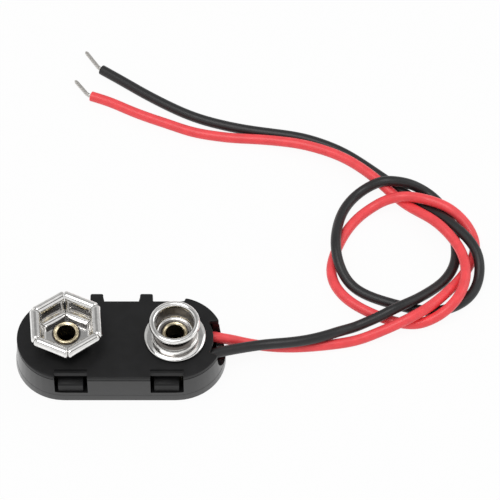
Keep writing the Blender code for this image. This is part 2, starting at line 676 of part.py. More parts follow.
def main():
    clear_scene()
    pieces = make_collection("battery_snap_connector")
    tools = make_collection("cutters")
    black = make_material("black_plastic", (0.022, 0.023, 0.025), 0.5, 0.0)
    nickel = make_material("nickel_plate", (0.74, 0.73, 0.71), 0.16, 1.0)
    brass = make_material("eyelet_brass", (0.80, 0.66, 0.38), 0.28, 1.0)
    tin = make_material("tinned_copper", (0.62, 0.60, 0.57), 0.35, 1.0)
    solder = make_material("solder", (0.55, 0.55, 0.56), 0.4, 1.0)
    red_jacket = make_material("red_insulation", (0.80, 0.06, 0.07), 0.38, 0.0)
    black_jacket = make_material("black_insulation", (0.025, 0.025, 0.028), 0.4, 0.0)

    build_base_cover(pieces, tools, black)
    build_contact_plate(pieces, tools, black)
    build_hinge_strap("left", -STRAP_OFFSET, pieces, black)
    build_hinge_strap("right", STRAP_OFFSET, pieces, black)
    build_socket_contact(pieces, tools, nickel)
    build_stud_contact(pieces, nickel)
    build_eyelet("socket_eyelet", -HALF_SPACING, CONTACT_FLOOR_LIFT + SOCKET_SHEET, pieces, brass)
    build_eyelet("stud_eyelet", HALF_SPACING, CONTACT_FLOOR_LIFT + CONTACT_SHEET, pieces, brass)
    for name, sign in (("socket", -1.0), ("stud", 1.0)):
        build_tag(name + "_solder_tag", sign, pieces, tin)
        build_solder(name + "_solder_joint", sign, pieces, solder)
    build_lead("red", -1.0, RED_START, RED_ROUTE, RED_TIP, pieces, red_jacket, tin)
    build_lead("black", 1.0, BLACK_START, BLACK_ROUTE, BLACK_TIP, pieces, black_jacket, tin)
    tools.hide_render = True


main()
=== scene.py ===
"""Battery snap connector with a hard shell: its finished surfaces, built around the packed frame.

Metres, +Z up. The origin is the centre of the shell's underside. +X points to the stud and the
wire exit, +Y to the moulded hinge. The panel in the 3D view's sidebar lists one button a piece.
"""
from math import asin, cos, degrees, pi, radians, sin, tan

import bmesh
import bpy
import numpy as np
from bpy.props import FloatProperty, FloatVectorProperty, IntProperty, PointerProperty
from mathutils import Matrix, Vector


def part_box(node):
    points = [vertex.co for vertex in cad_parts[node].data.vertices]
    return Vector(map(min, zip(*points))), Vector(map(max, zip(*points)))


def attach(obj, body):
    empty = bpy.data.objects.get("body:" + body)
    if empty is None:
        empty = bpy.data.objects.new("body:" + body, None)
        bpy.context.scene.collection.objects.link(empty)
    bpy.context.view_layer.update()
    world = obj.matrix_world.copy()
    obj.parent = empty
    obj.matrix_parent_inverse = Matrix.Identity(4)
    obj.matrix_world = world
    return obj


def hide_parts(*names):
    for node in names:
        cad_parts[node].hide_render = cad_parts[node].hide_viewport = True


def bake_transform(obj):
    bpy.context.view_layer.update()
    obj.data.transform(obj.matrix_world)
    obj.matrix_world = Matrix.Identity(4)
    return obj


bl_info = {
    "name": "Battery snap connector",
    "version": (1, 0, 0),
    "blender": (4, 5, 0),
    "location": "3D View > Sidebar > Snap connector",
    "description": "Builds a battery snap connector with a hard shell and two leads",
    "category": "Add Mesh",
}

MM = 0.001

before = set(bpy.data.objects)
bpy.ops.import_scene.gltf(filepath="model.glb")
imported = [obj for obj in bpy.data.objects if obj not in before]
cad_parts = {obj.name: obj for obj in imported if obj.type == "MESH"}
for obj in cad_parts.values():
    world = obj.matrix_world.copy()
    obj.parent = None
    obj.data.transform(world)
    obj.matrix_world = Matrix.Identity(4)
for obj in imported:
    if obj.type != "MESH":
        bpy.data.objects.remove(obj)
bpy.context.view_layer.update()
TRAY_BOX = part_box("base_cover")
STRAP_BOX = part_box("hinge_strap_right")

# Camera fitted to the snaps, the shell and the leads, for a square picture
CAMERA_PLACE = (15.124 * MM, -213.71 * MM, 327.66 * MM)
CAMERA_TILT = 35.0
CAMERA_LENS = 238.14
SENSOR_WIDTH = 36.0

# Points along each lead in millimetres, from inside the shell to its bare end. A point on the
# table has no height.
BLACK_ROUTE = [
    (3.0, -1.7, 3.3), (3.9, -2.7, 2.8), (6.4, -2.9, 2.6), (9.6, -1.8, 2.8), (10.9, -1.1, 3.0),
    (13.3, -0.3, 2.5), (15.9, 0.7, 1.95), (21.2, 1.1, 2.1), (25.1, 2.5, 1.7), (27.4, 4.0, 0.9),
    (29.6, 4.5, 1.5), (32.5, 5.6, 2.4), (35.7, 7.9, 1.6), (38.6, 10.9), (40.0, 13.9), (39.6, 19.1),
    (38.1, 22.5), (36.3, 24.0, 1.1), (34.0, 24.3, 2.1), (31.4, 24.3, 2.4), (29.5, 24.3, 1.3),
    (27.7, 23.1, 0.7), (26.2, 20.3, 1.0), (25.4, 15.8, 2.05), (25.7, 12.6, 1.7), (27.0, 10.2, 0.8),
    (29.7, 8.3), (36.2, 6.3), (39.2, 6.8), (41.5, 8.4), (42.6, 10.8, 0.9), (42.7, 13.2, 1.8),
    (41.6, 15.7, 2.1), (38.9, 18.9, 1.8), (36.1, 21.9), (31.1, 26.3), (29.0, 28.1), (26.7, 29.9),
    (24.2, 31.2), (21.6, 32.2), (19.0, 32.7), (16.4, 33.1), (13.8, 33.6), (11.2, 34.3),
    (8.6, 35.2), (6.2, 36.4), (3.9, 37.8), (1.6, 39.3), (-0.6, 40.9), (-3.5, 42.9),
]
RED_ROUTE = [
    (-1.2, 0.0, 3.3), (0.4, 0.6, 2.9), (3.2, 2.4, 2.6), (6.4, 2.9, 2.6), (9.5, 1.6, 2.7),
    (10.8, 1.0, 3.0), (12.6, 1.2, 2.3), (14.4, 1.8, 1.0), (16.6, 1.4), (20.8, 1.2), (27.2, 2.0),
    (31.1, 3.4, 1.2), (34.0, 4.3, 2.1), (37.2, 6.7, 2.0), (40.7, 11.5), (42.3, 14.8), (42.3, 17.1),
    (41.2, 19.0, 1.3), (39.2, 20.5, 2.1), (36.4, 21.9, 2.1), (33.7, 22.0, 2.35), (31.5, 22.1, 1.5),
    (29.5, 21.3), (26.8, 18.1), (24.9, 13.2), (25.2, 10.1), (27.5, 7.3), (32.0, 4.9), (34.9, 4.4),
    (37.5, 5.1, 1.4), (39.5, 6.6, 2.1), (40.8, 9.4, 2.2), (40.9, 12.9, 2.1), (39.7, 15.8, 2.1),
    (37.5, 18.5, 2.1), (34.6, 21.3, 1.12), (32.7, 23.0, 1.15), (30.8, 25.0, 1.48),
    (28.7, 27.0, 1.49), (26.4, 28.8, 1.33), (23.8, 30.1, 1.16), (21.2, 31.0, 1.05),
    (18.6, 31.5, 0.91), (15.9, 31.9, 0.77), (13.2, 32.1, 0.67), (10.5, 32.5, 0.66), (7.8, 33.1),
    (5.3, 34.2), (2.8, 35.2), (0.2, 36.4), (-2.3, 37.8), (-4.7, 38.7),
]
BLACK_TIP = (-5.6, 46.0, 0.35)
RED_TIP = (-6.8, 41.4, 0.35)
BLACK_EXIT = (10.9, -1.1, 3.0)
RED_EXIT = (10.8, 1.0, 3.0)
TABLE_CLEARANCE = 0.025 * MM

KEY_PLACE = (-80.0 * MM, -60.0 * MM, 420.0 * MM)
FILL_PLACE = (300.0 * MM, 120.0 * MM, 260.0 * MM)
LAMP_TARGET = (15.0 * MM, 15.0 * MM, 0.0)

# Density of the worked-out surfaces
OUTLINE_POINTS = 720
TONGUE_POINTS = 160
SLOT_POINTS = 240
STRAP_POINTS = 320
HEXAGON_POINTS = 96
PETAL_FOOT, PETAL_ROLL = 50, 80
LEAD_RINGS = 700
LEAD_SIDES = 28
ROUTE_STEPS = 24
STRAND_RINGS = 160
SOLDER_RINGS, SOLDER_SIDES = 24, 48
TURNED_STEPS = 128
ARC_STEP = 9.0
TURN_ROOM = 0.6

# A petal's sections: distances from its cut edge in millimetres, and shares of its thickness there
PETAL_INSETS = np.array([0.0, 0.01, 0.035, 0.08, 0.14, 0.2, 0.3, 0.4, 0.6, 0.8, 1.0, 1.2])
PETAL_THINNING = np.array([0.35, 0.7, 0.93] + [1.0] * 9)

# How far a cutter reaches past its piece
PAST = 1.0 * MM


def length(name, text, default):
    """A property for a length, whose default is given in millimetres."""
    return FloatProperty(name=name, description=text, default=default * MM, min=0.0,
                         unit="LENGTH", precision=5)


def angle_size(name, text, default):
    """A property for an angle, whose default is given in degrees."""
    return FloatProperty(name=name, description=text, default=radians(default), subtype="ANGLE")


def share(name, text, default):
    """A property for a number from 0 to 1."""
    return FloatProperty(name=name, description=text, default=default, min=0.0, max=1.0)


def power(name, text, default):
    """A property for a lamp's power."""
    return FloatProperty(name=name, description=text, default=default, min=0.0, subtype="POWER")


def colour(name, text, default):
    """A property for a colour."""
    return FloatVectorProperty(name=name, description=text, default=default, min=0.0, max=1.0,
                               size=3, subtype="COLOR")


class ShellSizes(bpy.types.PropertyGroup):
    """Sizes of the plate and the tray."""

    spacing: length("Snap spacing", "Distance between the two snaps", 12.7)
    end_centre: length("End centre", "From the middle to the centre of a round end", 6.4)
    end_radius: length("End radius", "Radius of the shell's round ends", 5.7)
    plate_thickness: length("Plate thickness", "Thickness of the top plate", 0.6)
    rim_height: length("Rim height", "Height of the tray's rim", TRAY_BOX[1].z / MM)
    seam_gap: length("Seam gap", "Gap between the tray's rim and the plate", 0.1)
    wall: length("Wall", "Thickness of the tray's wall", 0.8)
    floor: length("Floor", "Thickness of the tray's floor", 0.8)
    recess_length: length("Rear recess length", "Length of the flat rear side", 15.1)
    recess_depth: length("Rear recess depth", "Depth of the flat rear side", 0.6)
    outline_shift: length("Outline shift", "How far the outline stands toward the socket", 0.1)
    edge_round: length("Edge rounding", "Rounding of the plate's top edge", 0.13)
    corner_round: length("Corner rounding", "Softness of the outline's corners", 0.2)
    base_rim: length("Base rim height", "Height of the thicker rim at the tray's foot", 1.1)
    base_step: length("Base rim step", "How far the rim at the foot stands out", 0.018)
    foot_round: length("Foot rounding", "Rounding of the tray's lower edge", 0.14)
    rim_round: length("Rim rounding", "Rounding of the tray's rim", 0.08)
    floor_round: length("Floor rounding", "Rounding where the tray's floor meets its wall", 0.3)
    draft: share("Draft", "Share by which the foot is wider than the rim", 0.026)
    notch_near: length("Notch near half", "Wire notch, from the middle to its near corner", 2.5)
    notch_root: length("Notch near root", "The same on the notch's inner side", 2.1)
    notch_far: length("Notch far half", "Wire notch, from the middle to its far side", 2.25)
    notch_depth: length("Notch depth", "Depth of the wire notch", 1.15)
    slot_near: length("Slot near half", "Wire slot, from the middle to its near side", 2.66)
    slot_round: length("Slot rounding", "Softness of the slot's corners", 0.05)
    slot_sill: length("Slot sill", "Height of the wire slot's lowest point", 0.9)
    boss_height: length("Boss height", "Height of the ring under each contact", 0.52)
    boss_radius: length("Boss radius", "Radius of the ring under each contact", 2.2)
    boss_round: length("Boss rounding", "Rounding of the ring's edge", 0.08)
    hole_radius: length("Hole radius", "Radius of the eyelet holes", 1.3)
    plastic: colour("Plastic", "Colour of the moulded shell", (0.007, 0.007, 0.0075))
    gloss: share("Tray gloss", "How glossy the tray is beside the plate", 0.62)


class LatchSizes(bpy.types.PropertyGroup):
    """Sizes of the two latches on the near side and the two hinge straps on the far side."""

    offset: length("Latch offset", "Distance of each latch from the middle", 5.6)
    window_width: length("Window width", "Width of the latch windows", 3.87)
    window_sill: length("Window sill", "Height of the windows' lower edge", 1.6)
    tongue_width: length("Tongue width", "Width of the plate's springy tongues", 2.93)
    tongue_thickness: length("Tongue thickness", "Thickness of the tongues", 0.6)
    tongue_setback: length("Tongue setback", "Gap from the wall's inner face", 0.55)
    nose_recess: length("Nose recess", "How far the nose lies inside the outline", 0.14)
    tongue_shift: length("Tongue shift", "How far the tongues stand toward the socket", 0.2)
    window_shift: length("Window shift", "How far the windows stand toward the socket", 0.14)
    nose_height: length("Nose height", "Height of the nose in its window", 1.35)
    nose_bevel: length("Nose bevel", "Height of the slope on top of the nose", 0.18)
    nose_round: length("Nose rounding", "Rounding of the tongue and its nose", 0.04)
    nose_taper: share("Nose taper", "Size of a tongue's end faces beside its middle", 0.96)
    nose_clearance: length("Nose clearance", "Gap from the sill to the nose", 0.05)
    lip_recess: length("Lip recess", "How far the plate's lip is set back", 0.65)
    groove_inset: length("Groove inset", "Distance from the lip to the groove", 0.2)
    groove_width: length("Groove width", "Width of the groove behind the lip", 0.3)
    groove_depth: length("Groove depth", "Depth of the groove behind the lip", 0.15)
    strap_width: length("Strap width", "Width of a hinge strap",
                        (STRAP_BOX[1].x - STRAP_BOX[0].x) / MM + 0.15)
    strap_reach: length("Strap reach", "How far the straps pass the frame's straps", 0.12)
    strap_sink: length("Strap sink", "How deep a strap's root is sunk in the rear side", 0.06)
    strap_corner: length("Strap corner", "Radius of a strap's outer corners from above", 0.28)
    strap_flare: length("Strap flare", "Radius of the fillets at a strap's root", 0.15)
    strap_shift: length("Strap shift", "How far the straps stand toward the socket", 0.03)
    strap_thickness: length("Strap thickness", "Thickness of a hinge strap", 0.35)
    strap_round: length("Strap bend", "Outer radius of a strap's two bends", 0.2)
    strap_edge: length("Strap edge", "Rounding of a strap's sides", 0.09)
    strap_soft: length("Strap softness", "Softness of a strap's bends", 0.02)


class ContactSizes(bpy.types.PropertyGroup):
    """Sizes of the socket, the stud and their eyelets."""

    floor_lift: length("Floor lift", "Gap from the plate to each contact's floor", 0.55)
    seat_gap: length("Seat gap", "Gap between pieces that touch", 0.03)
    stud_sheet: length("Stud sheet", "Thickness of the stud's sheet", 0.25)
    stud_rim: length("Stud rim radius", "Radius of the stud's rolled rim", 2.97)
    stud_roll: length("Stud roll", "Radius of the rim's roll", 0.36)
    stud_height: length("Stud height", "Height of the stud above the plate", 3.36)
    stud_flange: length("Stud flange radius", "Radius of the stud's flange", 3.61)
    flange_lift: length("Flange lift", "Gap from the plate to the stud's flange", 0.3)
    stud_bead: length("Stud bead", "Width of the flange's rounded edge", 0.78)
    stud_fillet: length("Stud fillet", "Radius at the stud's neck", 0.15)
    cup_fillet: length("Cup fillet", "Radius round the stud's floor", 0.35)
    socket_sheet: length("Socket sheet", "Thickness of the socket's sheet", 0.22)
    socket_throat: length("Socket throat", "Distance from the axis to a petal", 2.93)
    roll_width: length("Roll width", "How far a petal's roll reaches past its wall", 1.2)
    roll_rise: length("Roll rise", "Height over which a wall curves out into its roll", 0.6)
    roll_bend: length("Roll bend", "Radius of the roll's outer bends", 0.58)
    roll_flank: length("Roll flank", "Height of the roll's upright outer side", 0.04)
    socket_height: length("Socket height", "Height of the socket above the plate", 3.65)
    socket_fillet: length("Socket fillet", "Bend radius at the petals' foot", 0.8)
    slit_root: length("Slit at the foot", "Gap between two petals at their foot", 0.06)
    slit_wall: length("Slit in the wall", "Gap between two petals half way up", 0.28)
    slit_top: length("Slit at the top", "Gap between two petals at their roll", 0.07)
    slit_rise: length("Slit rise", "Height over which a slit opens above the foot", 0.7)
    roll_pinch: length("Roll pinch", "How much narrower a roll is at its ends", 0.2)
    roll_end: length("Roll end", "Length over which a roll narrows to its ends", 0.3)
    roll_corner: length("Roll corner", "How far a roll's outer corners are set back", 0.1)
    corner_reach: length("Corner reach", "Distance from a slit over which the bend widens", 0.9)
    corner_bend: length("Corner bend radius", "Bend radius at the petals' foot by a slit", 0.7)
    socket_turn: angle_size("Socket turn", "Turn of the socket about its axis", 4.7)
    socket_shift: FloatVectorProperty(name="Socket shift", size=2, unit="LENGTH", precision=5,
                                      description="How far the socket stands off its eyelet",
                                      default=(0.07 * MM, -0.25 * MM))
    socket_curl: angle_size("Socket curl", "Angle of the bend under a roll", 150.0)
    eyelet_bore: length("Eyelet bore", "Inner radius of an eyelet", 1.1)
    eyelet_barrel: length("Eyelet barrel", "Outer radius of an eyelet's tube", 1.27)
    eyelet_ring: length("Eyelet ring", "Outer radius of the stud's eyelet's ring", 1.46)
    socket_ring: length("Socket ring", "Outer radius of the socket's eyelet's ring", 1.49)
    eyelet_ring_height: length("Ring height", "Height of the rolled ring", 0.26)
    eyelet_foot_height: length("Foot height", "Height of an eyelet's foot", 0.24)
    eyelet_foot_round: length("Eyelet foot rounding", "Rounding of an eyelet's foot", 0.06)
    nickel: colour("Nickel", "Colour of the plated contacts", (0.95, 0.94, 0.92))
    # Painted shade: a dark colour laid over the nickel where shade falls. It goes inside the stud's
    # cup, round its neck, on the socket's walls and round the eyelets, and the shares below set how
    # much of it goes in each place.
    painted_shade: colour("Painted shade colour", "Colour painted on the plating as shade", (0.10, 0.082, 0.072))
    painted_shade_edge: length("Painted shade edge", "Softness of the painted shade's edges", 0.15)
    cup_painted_shade: share("Painted shade in cup", "Share of painted shade inside the stud's cup", 0.85)
    neck_painted_shade: share("Painted shade at neck", "Share of painted shade round the stud's neck", 0.92)
    wall_painted_shade: share("Painted shade on walls", "Share of painted shade on the socket's walls", 0.55)
    ring_painted_shade: share("Painted shade at eyelets", "Share of painted shade round the eyelets", 0.9)
    brass: colour("Brass", "Colour of the eyelets", (0.93, 0.81, 0.56))


class LeadSizes(bpy.types.PropertyGroup):
    """Sizes and colours of the leads and their joints."""

    diameter: length("Lead diameter", "Outer diameter of a lead", 1.25)
    conductor: length("Conductor diameter", "Diameter of the twisted strands", 0.5)
    strands: IntProperty(name="Strands", description="Outer strands of the conductor", default=6,
                         min=3, max=12)
    lay: length("Lay", "Length of one turn of the strands", 2.6)
    lobe: share("Lobe", "How far the strands stand out, as a share of the conductor", 0.14)
    cut_round: length("Cut rounding", "Rounding of a lead's cut ends", 0.06)
    bend_ease: length("Bend easing", "Softness of the leads' bends, from above", 1.3)
    rise_ease: length("Rise easing", "Softness of the leads' rises and falls", 0.6)
    bare_ease: length("Bare easing", "Softness of the bare ends' bends", 0.25)
    bare_start: length("Straight start", "Straight run of a bare end", 0.4)
    solder_radius: length("Solder radius", "Radius of a solder joint", 0.6)
    solder_depth: length("Solder depth", "Depth of a solder joint", 0.75)
    red: colour("Red", "Colour of the red insulation", (0.96, 0.075, 0.085))
    black: colour("Black", "Colour of the black insulation", (0.014, 0.014, 0.015))
    tin: colour("Tin", "Colour of the tinned metal", (0.62, 0.60, 0.57))
    solder: colour("Solder", "Colour of the solder", (0.55, 0.55, 0.56))


class StageSettings(bpy.types.PropertyGroup):
    """Floor, light and camera."""

    floor_size: length("Floor size", "Side of the square floor", 3000.0)
    floor_colour: colour("Floor colour", "Colour of the floor", (0.86, 0.86, 0.86))
    floor_white: share("Floor white", "Share of plain white that the camera sees", 0.94)
    band_low: angle_size("Band's lower edge", "Angle above the horizon of the tent's band", 48.0)
    band_high: angle_size("Band's upper edge", "Angle above the horizon of its end", 63.0)
    band_soft: angle_size("Band softness", "Softness of the band's edges", 2.0)
    band_depth: share("Band depth", "How much darker the band is than the tent", 0.93)
    back_depth: share("Back depth", "The same on the far side", 0.64)
    low_depth: share("Low depth", "How much darker the far side is below the band", 0.34)
    sky: share("Sky", "Strength of the light from all round", 0.73)
    lamp_size: length("Lamp size", "Side of the square lamps", 250.0)
    key: power("Key lamp", "Power of the lamp over the shell", 0.65)
    fill: power("Fill lamp", "Power of the lamp over the leads", 0.2)


def arc(centre, radius, start, stop):
    """Points of an arc: centre plus radius times (cos a, sin a), a from start to stop in degrees."""
    count = 2 + int(abs(stop - start) / ARC_STEP)
    angle = np.radians(np.linspace(start, stop, count))
    return np.array(centre) + radius * np.stack([np.cos(angle), np.sin(angle)], axis=1)


def evenly(points, count, closed=False):
    """The same line with count points at equal steps of its length."""
    line = np.vstack([points, points[:1]]) if closed else points
    steps = np.linalg.norm(np.diff(line, axis=0), axis=1)
    travelled = np.concatenate([[0.0], np.cumsum(steps)])
    places = np.linspace(0.0, travelled[-1], count, endpoint=not closed)
    return np.stack([np.interp(places, travelled, axis) for axis in line.T], axis=1)


def softened(points, count, spread):
    """A closed outline with soft corners: each point is the mean of the line around it, weighted by
    a bell whose standard deviation is spread, worked out as a product of Fourier transforms."""
    line = evenly(points, count, closed=True)
    step = np.linalg.norm(line[1] - line[0])
    index = np.arange(count)
    bell = np.exp(-0.5 * (np.minimum(index, count - index) * step / spread) ** 2)
    weight = np.fft.fft(bell / bell.sum())[:, None]
    return np.fft.ifft(np.fft.fft(line, axis=0) * weight, axis=0).real


def surface(name, grid, around=True, along=False, caps=False):
    """Put a grid of points, rows by columns by xyz, into a closed mesh whose faces point outward.
    around joins the last column to the first, along the last row to the first, and caps closes
    the first and the last row with one flat face each."""
    rows, columns = grid.shape[:2]
    index = np.arange(rows * columns).reshape(rows, columns)
    ends = [index[0, ::-1].tolist(), index[-1].tolist()] if caps else []
    if around:
        index = np.hstack([index, index[:, :1]])
    if along:
        index = np.vstack([index, index[:1]])
    quads = np.stack([index[:-1, :-1], index[:-1, 1:], index[1:, 1:], index[1:, :-1]], axis=-1)
    mesh = bpy.data.meshes.new(name)
    mesh.from_pydata(grid.reshape(-1, 3).tolist(), [], quads.reshape(-1, 4).tolist() + ends)
    return as_object(name, mesh)


def tidied(mesh):
    """Merge a mesh's doubled points, cut its large faces into triangles while it is enlarged, so
    that its short edges count, and turn its faces outward."""
    shape = bmesh.new()
    shape.from_mesh(mesh)
    bmesh.ops.remove_doubles(shape, verts=shape.verts, dist=0.0002 * MM)
    bmesh.ops.scale(shape, vec=(1.0 / MM,) * 3, verts=shape.verts)
    large = [face for face in shape.faces if len(face.verts) > 4]
    bmesh.ops.triangulate(shape, faces=large)
    bmesh.ops.scale(shape, vec=(MM,) * 3, verts=shape.verts)
    bmesh.ops.recalc_face_normals(shape, faces=shape.faces)
    shape.to_mesh(mesh)
    shape.free()


def as_object(name, mesh):
    """Tidy a mesh and link it in an object."""
    tidied(mesh)
    obj = bpy.data.objects.new(name, mesh)
    bpy.context.scene.collection.objects.link(obj)
    return obj


def edged_block(name, outline, profile, draft=0.0):
    """A block with a shaped edge: for each (inset, height) of the profile, the outline moved
    inward by inset along its normal, at that height, with the first and last levels closed. The
    inset shrinks where the outline turns more sharply than it allows. With a draft, each level is
    1 + draft (1 - height / top) times as wide."""
    along = np.roll(outline, -1, axis=0) - np.roll(outline, 1, axis=0)
    reach = np.linalg.norm(along, axis=1)
    outward = np.stack([along[:, 1], -along[:, 0]], axis=1) / reach[:, None]
    after = np.roll(along, -1, axis=0)
    before = np.roll(along, 1, axis=0)
    turn = np.arctan2(before[:, 0] * after[:, 1] - before[:, 1] * after[:, 0],
                      np.sum(before * after, axis=1)) / reach
    inset, height = np.array(profile).T
    tight = np.maximum(turn, 0.0) * max(inset.max(), 0.01 * MM) / TURN_ROOM
    inward = outward / np.maximum(tight, 1.0)[:, None]
    width = 1.0 + draft * (1.0 - height / height.max())
    flat = (outline - inset[:, None, None] * inward) * width[:, None, None]
    level = np.broadcast_to(height[:, None, None], flat.shape[:2] + (1,))
    return surface(name, np.concatenate([flat, level], axis=2), caps=True)


def block(name, low, high):
    """A plain box between two corners, as a four-cornered edged block."""
    outline = np.array([(low[0], low[1]), (high[0], low[1]), (high[0], high[1]), (low[0], high[1])])
    level = np.array([low[2], high[2]])[:, None, None]
    grid = np.concatenate([np.stack([outline] * 2), np.broadcast_to(level, (2, 4, 1))], axis=2)
    return surface(name, grid, caps=True)


def turned(name, profile, centre, steps=TURNED_STEPS, ring=True):
    """A turned solid: for each (radius, height) of the profile, the circle centre plus
    radius (cos a, sin a) at that height. A ring's profile is closed, another ends on the axis."""
    radius, height = np.array(profile).T
    angle = np.linspace(0.0, 2 * pi, steps, endpoint=False)
    x = centre[0] + np.outer(radius, np.cos(angle))
    y = centre[1] + np.outer(radius, np.sin(angle))
    z = np.broadcast_to((centre[2] + height)[:, None], x.shape)
    return surface(name, np.stack([x, y, z], axis=2), along=ring)


def carried(name, path, profile, reference):
    """A profile carried along a path: point = path + x * side + y * up, where side is the path's
    direction crossed with the reference and up is side crossed with the direction. The profile is
    one closed outline, or one for each point of the path."""
    along = np.gradient(path, axis=0)
    along /= np.linalg.norm(along, axis=1)[:, None]
    side = np.cross(along, reference)
    side /= np.linalg.norm(side, axis=1)[:, None]
    up = np.cross(side, along)
    profile = np.broadcast_to(profile, (len(path),) + profile.shape[-2:])
    grid = path[:, None] + profile[..., :1] * side[:, None] + profile[..., 1:] * up[:, None]
    return surface(name, grid, caps=True)


def bake_modifiers(obj):
    """Replace an object's mesh by what its modifiers make of it."""
    graph = bpy.context.evaluated_depsgraph_get()
    mesh = bpy.data.meshes.new_from_object(obj.evaluated_get(graph))
    obj.modifiers.clear()
    obj.data = mesh


def combine(target, tools, operation):
    """Cut the tools from the target, or add them, and remove them."""
    for tool in tools:
        modifier = target.modifiers.new(tool.name, "BOOLEAN")
        modifier.operation = operation
        modifier.solver = "MANIFOLD"
        modifier.object = tool
    bake_modifiers(target)
    for tool in tools:
        bpy.data.objects.remove(tool)


def finish_piece(obj, finish, nodes, body=None, sharp=35.0):
    """Shade a piece, give it its material, hang it under its body's empty if it has one, and hide
    the frame's parts that it takes the place of.
    """
    tidied(obj.data)
    obj.data.name = obj.name
    obj.data.materials.clear()
    obj.data.materials.append(finish)
    obj.data.shade_smooth()
    obj.data.set_sharp_from_angle(angle=radians(sharp))
    even = obj.modifiers.new("even_normals", "WEIGHTED_NORMAL")
    even.keep_sharp = True
    even.weight = 100
    if body:
        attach(obj, body)
    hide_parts(*nodes)
    return obj


class Value:
    """A shader socket whose arithmetic adds Math nodes."""

    def __init__(self, tree, socket):
        self.tree = tree
        self.socket = socket

    def math(self, operation, *values):
        return self.tree.node("ShaderNodeMath", {"operation": operation}, dict(enumerate(values)))

    def __add__(self, other):
        return self.math("ADD", self, other)

    def __sub__(self, other):
        return self.math("SUBTRACT", self, other)

    def __rsub__(self, other):
        return self.math("SUBTRACT", other, self)

    def __mul__(self, other):
        return self.math("MULTIPLY", self, other)

    __radd__ = __add__
    __rmul__ = __mul__

    def over(self, other):
        return self.math("MAXIMUM", self, other)

    def step(self, low, high):
        """0 below low, 1 above high, and a smooth rise between them."""
        sockets = {"Value": self, "From Min": low, "From Max": high}
        return self.tree.node("ShaderNodeMapRange", {"interpolation_type": "SMOOTHSTEP"}, sockets)

    def band(self, low, full, less, high):
        """A smooth rise from 0 at low to 1 at full, and a fall from 1 at less to 0 at high."""
        return self.step(low, full) * (1.0 - self.step(less, high))


class Shader:
    """A material's or world's node tree, emptied."""

    def __init__(self, owner):
        owner.use_nodes = True
        self.nodes = owner.node_tree.nodes
        self.links = owner.node_tree.links
        self.nodes.clear()

    def node(self, kind, settings=None, sockets=None, output=0):
        """Add a node: first its settings, then its sockets. Returns the named output."""
        made = self.nodes.new(kind)
        for name, value in (settings or {}).items():
            setattr(made, name, value)
        for name, value in (sockets or {}).items():
            if isinstance(value, Value):
                self.links.new(value.socket, made.inputs[name])
            else:
                made.inputs[name].default_value = value
        return Value(self, made.outputs[output]) if made.outputs else None

    def root(self, value):
        """A square root."""
        return self.node("ShaderNodeMath", {"operation": "SQRT"}, {0: value})

    def place(self):
        """Object coordinates, in metres."""
        return self.node("ShaderNodeTexCoord", output="Object")

    def axis(self, vector, name):
        """One coordinate of a vector."""
        return self.node("ShaderNodeSeparateXYZ", None, {0: vector}, name)

    def noise(self, vector, size, detail=2.0, roughness=0.5):
        """Cloudy noise from 0 to 1 whose blots are about size metres."""
        sockets = {"Vector": vector, "Scale": 1.0 / size, "Detail": detail, "Roughness": roughness}
        return self.node("ShaderNodeTexNoise", None, sockets)

    def blend(self, factor, first, second):
        """Mix two colours."""
        sockets = {0: factor, 6: first, 7: second}
        return self.node("ShaderNodeMix", {"data_type": "RGBA"}, sockets, 2)

    def bump(self, height):
        """A normal from a height in thousandths of a millimetre."""
        return self.node("ShaderNodeBump", None, {"Height": height, "Distance": 0.001 * MM})

    def principled(self, sockets):
        """Send one Principled shader to the material's output."""
        made = self.node("ShaderNodeBsdfPrincipled", None, sockets)
        self.node("ShaderNodeOutputMaterial", None, {"Surface": made})


def shade(value, factor):
    """A colour made darker or lighter by a factor, with its alpha."""
    return (*[min(1.0, part * factor) for part in value], 1.0)


def new_finish(name, value):
    """A material, its shader tree and its object coordinates."""
    material = bpy.data.materials.get(name) or bpy.data.materials.new(name)
    material.diffuse_color = (*value, 1.0)
    tree = Shader(material)
    return material, tree, tree.place()


def plastic_finish(name, matt):
    """Moulded plastic: finely pitted and matt where matt is 1, smoother and glossy where it is 0."""
    shell = bpy.context.scene.snap_shell
    material, tree, place = new_finish(name, shell.plastic)
    pits = tree.noise(place, 0.09 * MM, 3.0, 0.6)
    clouds = tree.noise(place, 1.6 * MM, 2.0)
    flow = tree.noise(place, 6.0 * MM, 1.0)
    tone = tree.blend(clouds.step(0.3, 0.7), shade(shell.plastic, 0.85), shade(shell.plastic, 1.25))
    tree.principled({
        "Base Color": tone,
        "Roughness": 0.3 + 0.16 * matt + 0.06 * (pits - 0.5) + 0.08 * (flow - 0.5),
        "Specular IOR Level": 0.3,
        "Coat Weight": shell.gloss * (1.0 - matt),
        "Coat Roughness": 0.22,
        "Normal": tree.bump(pits * (0.6 + 3.4 * matt) + clouds * 4.0),
    })
    return material


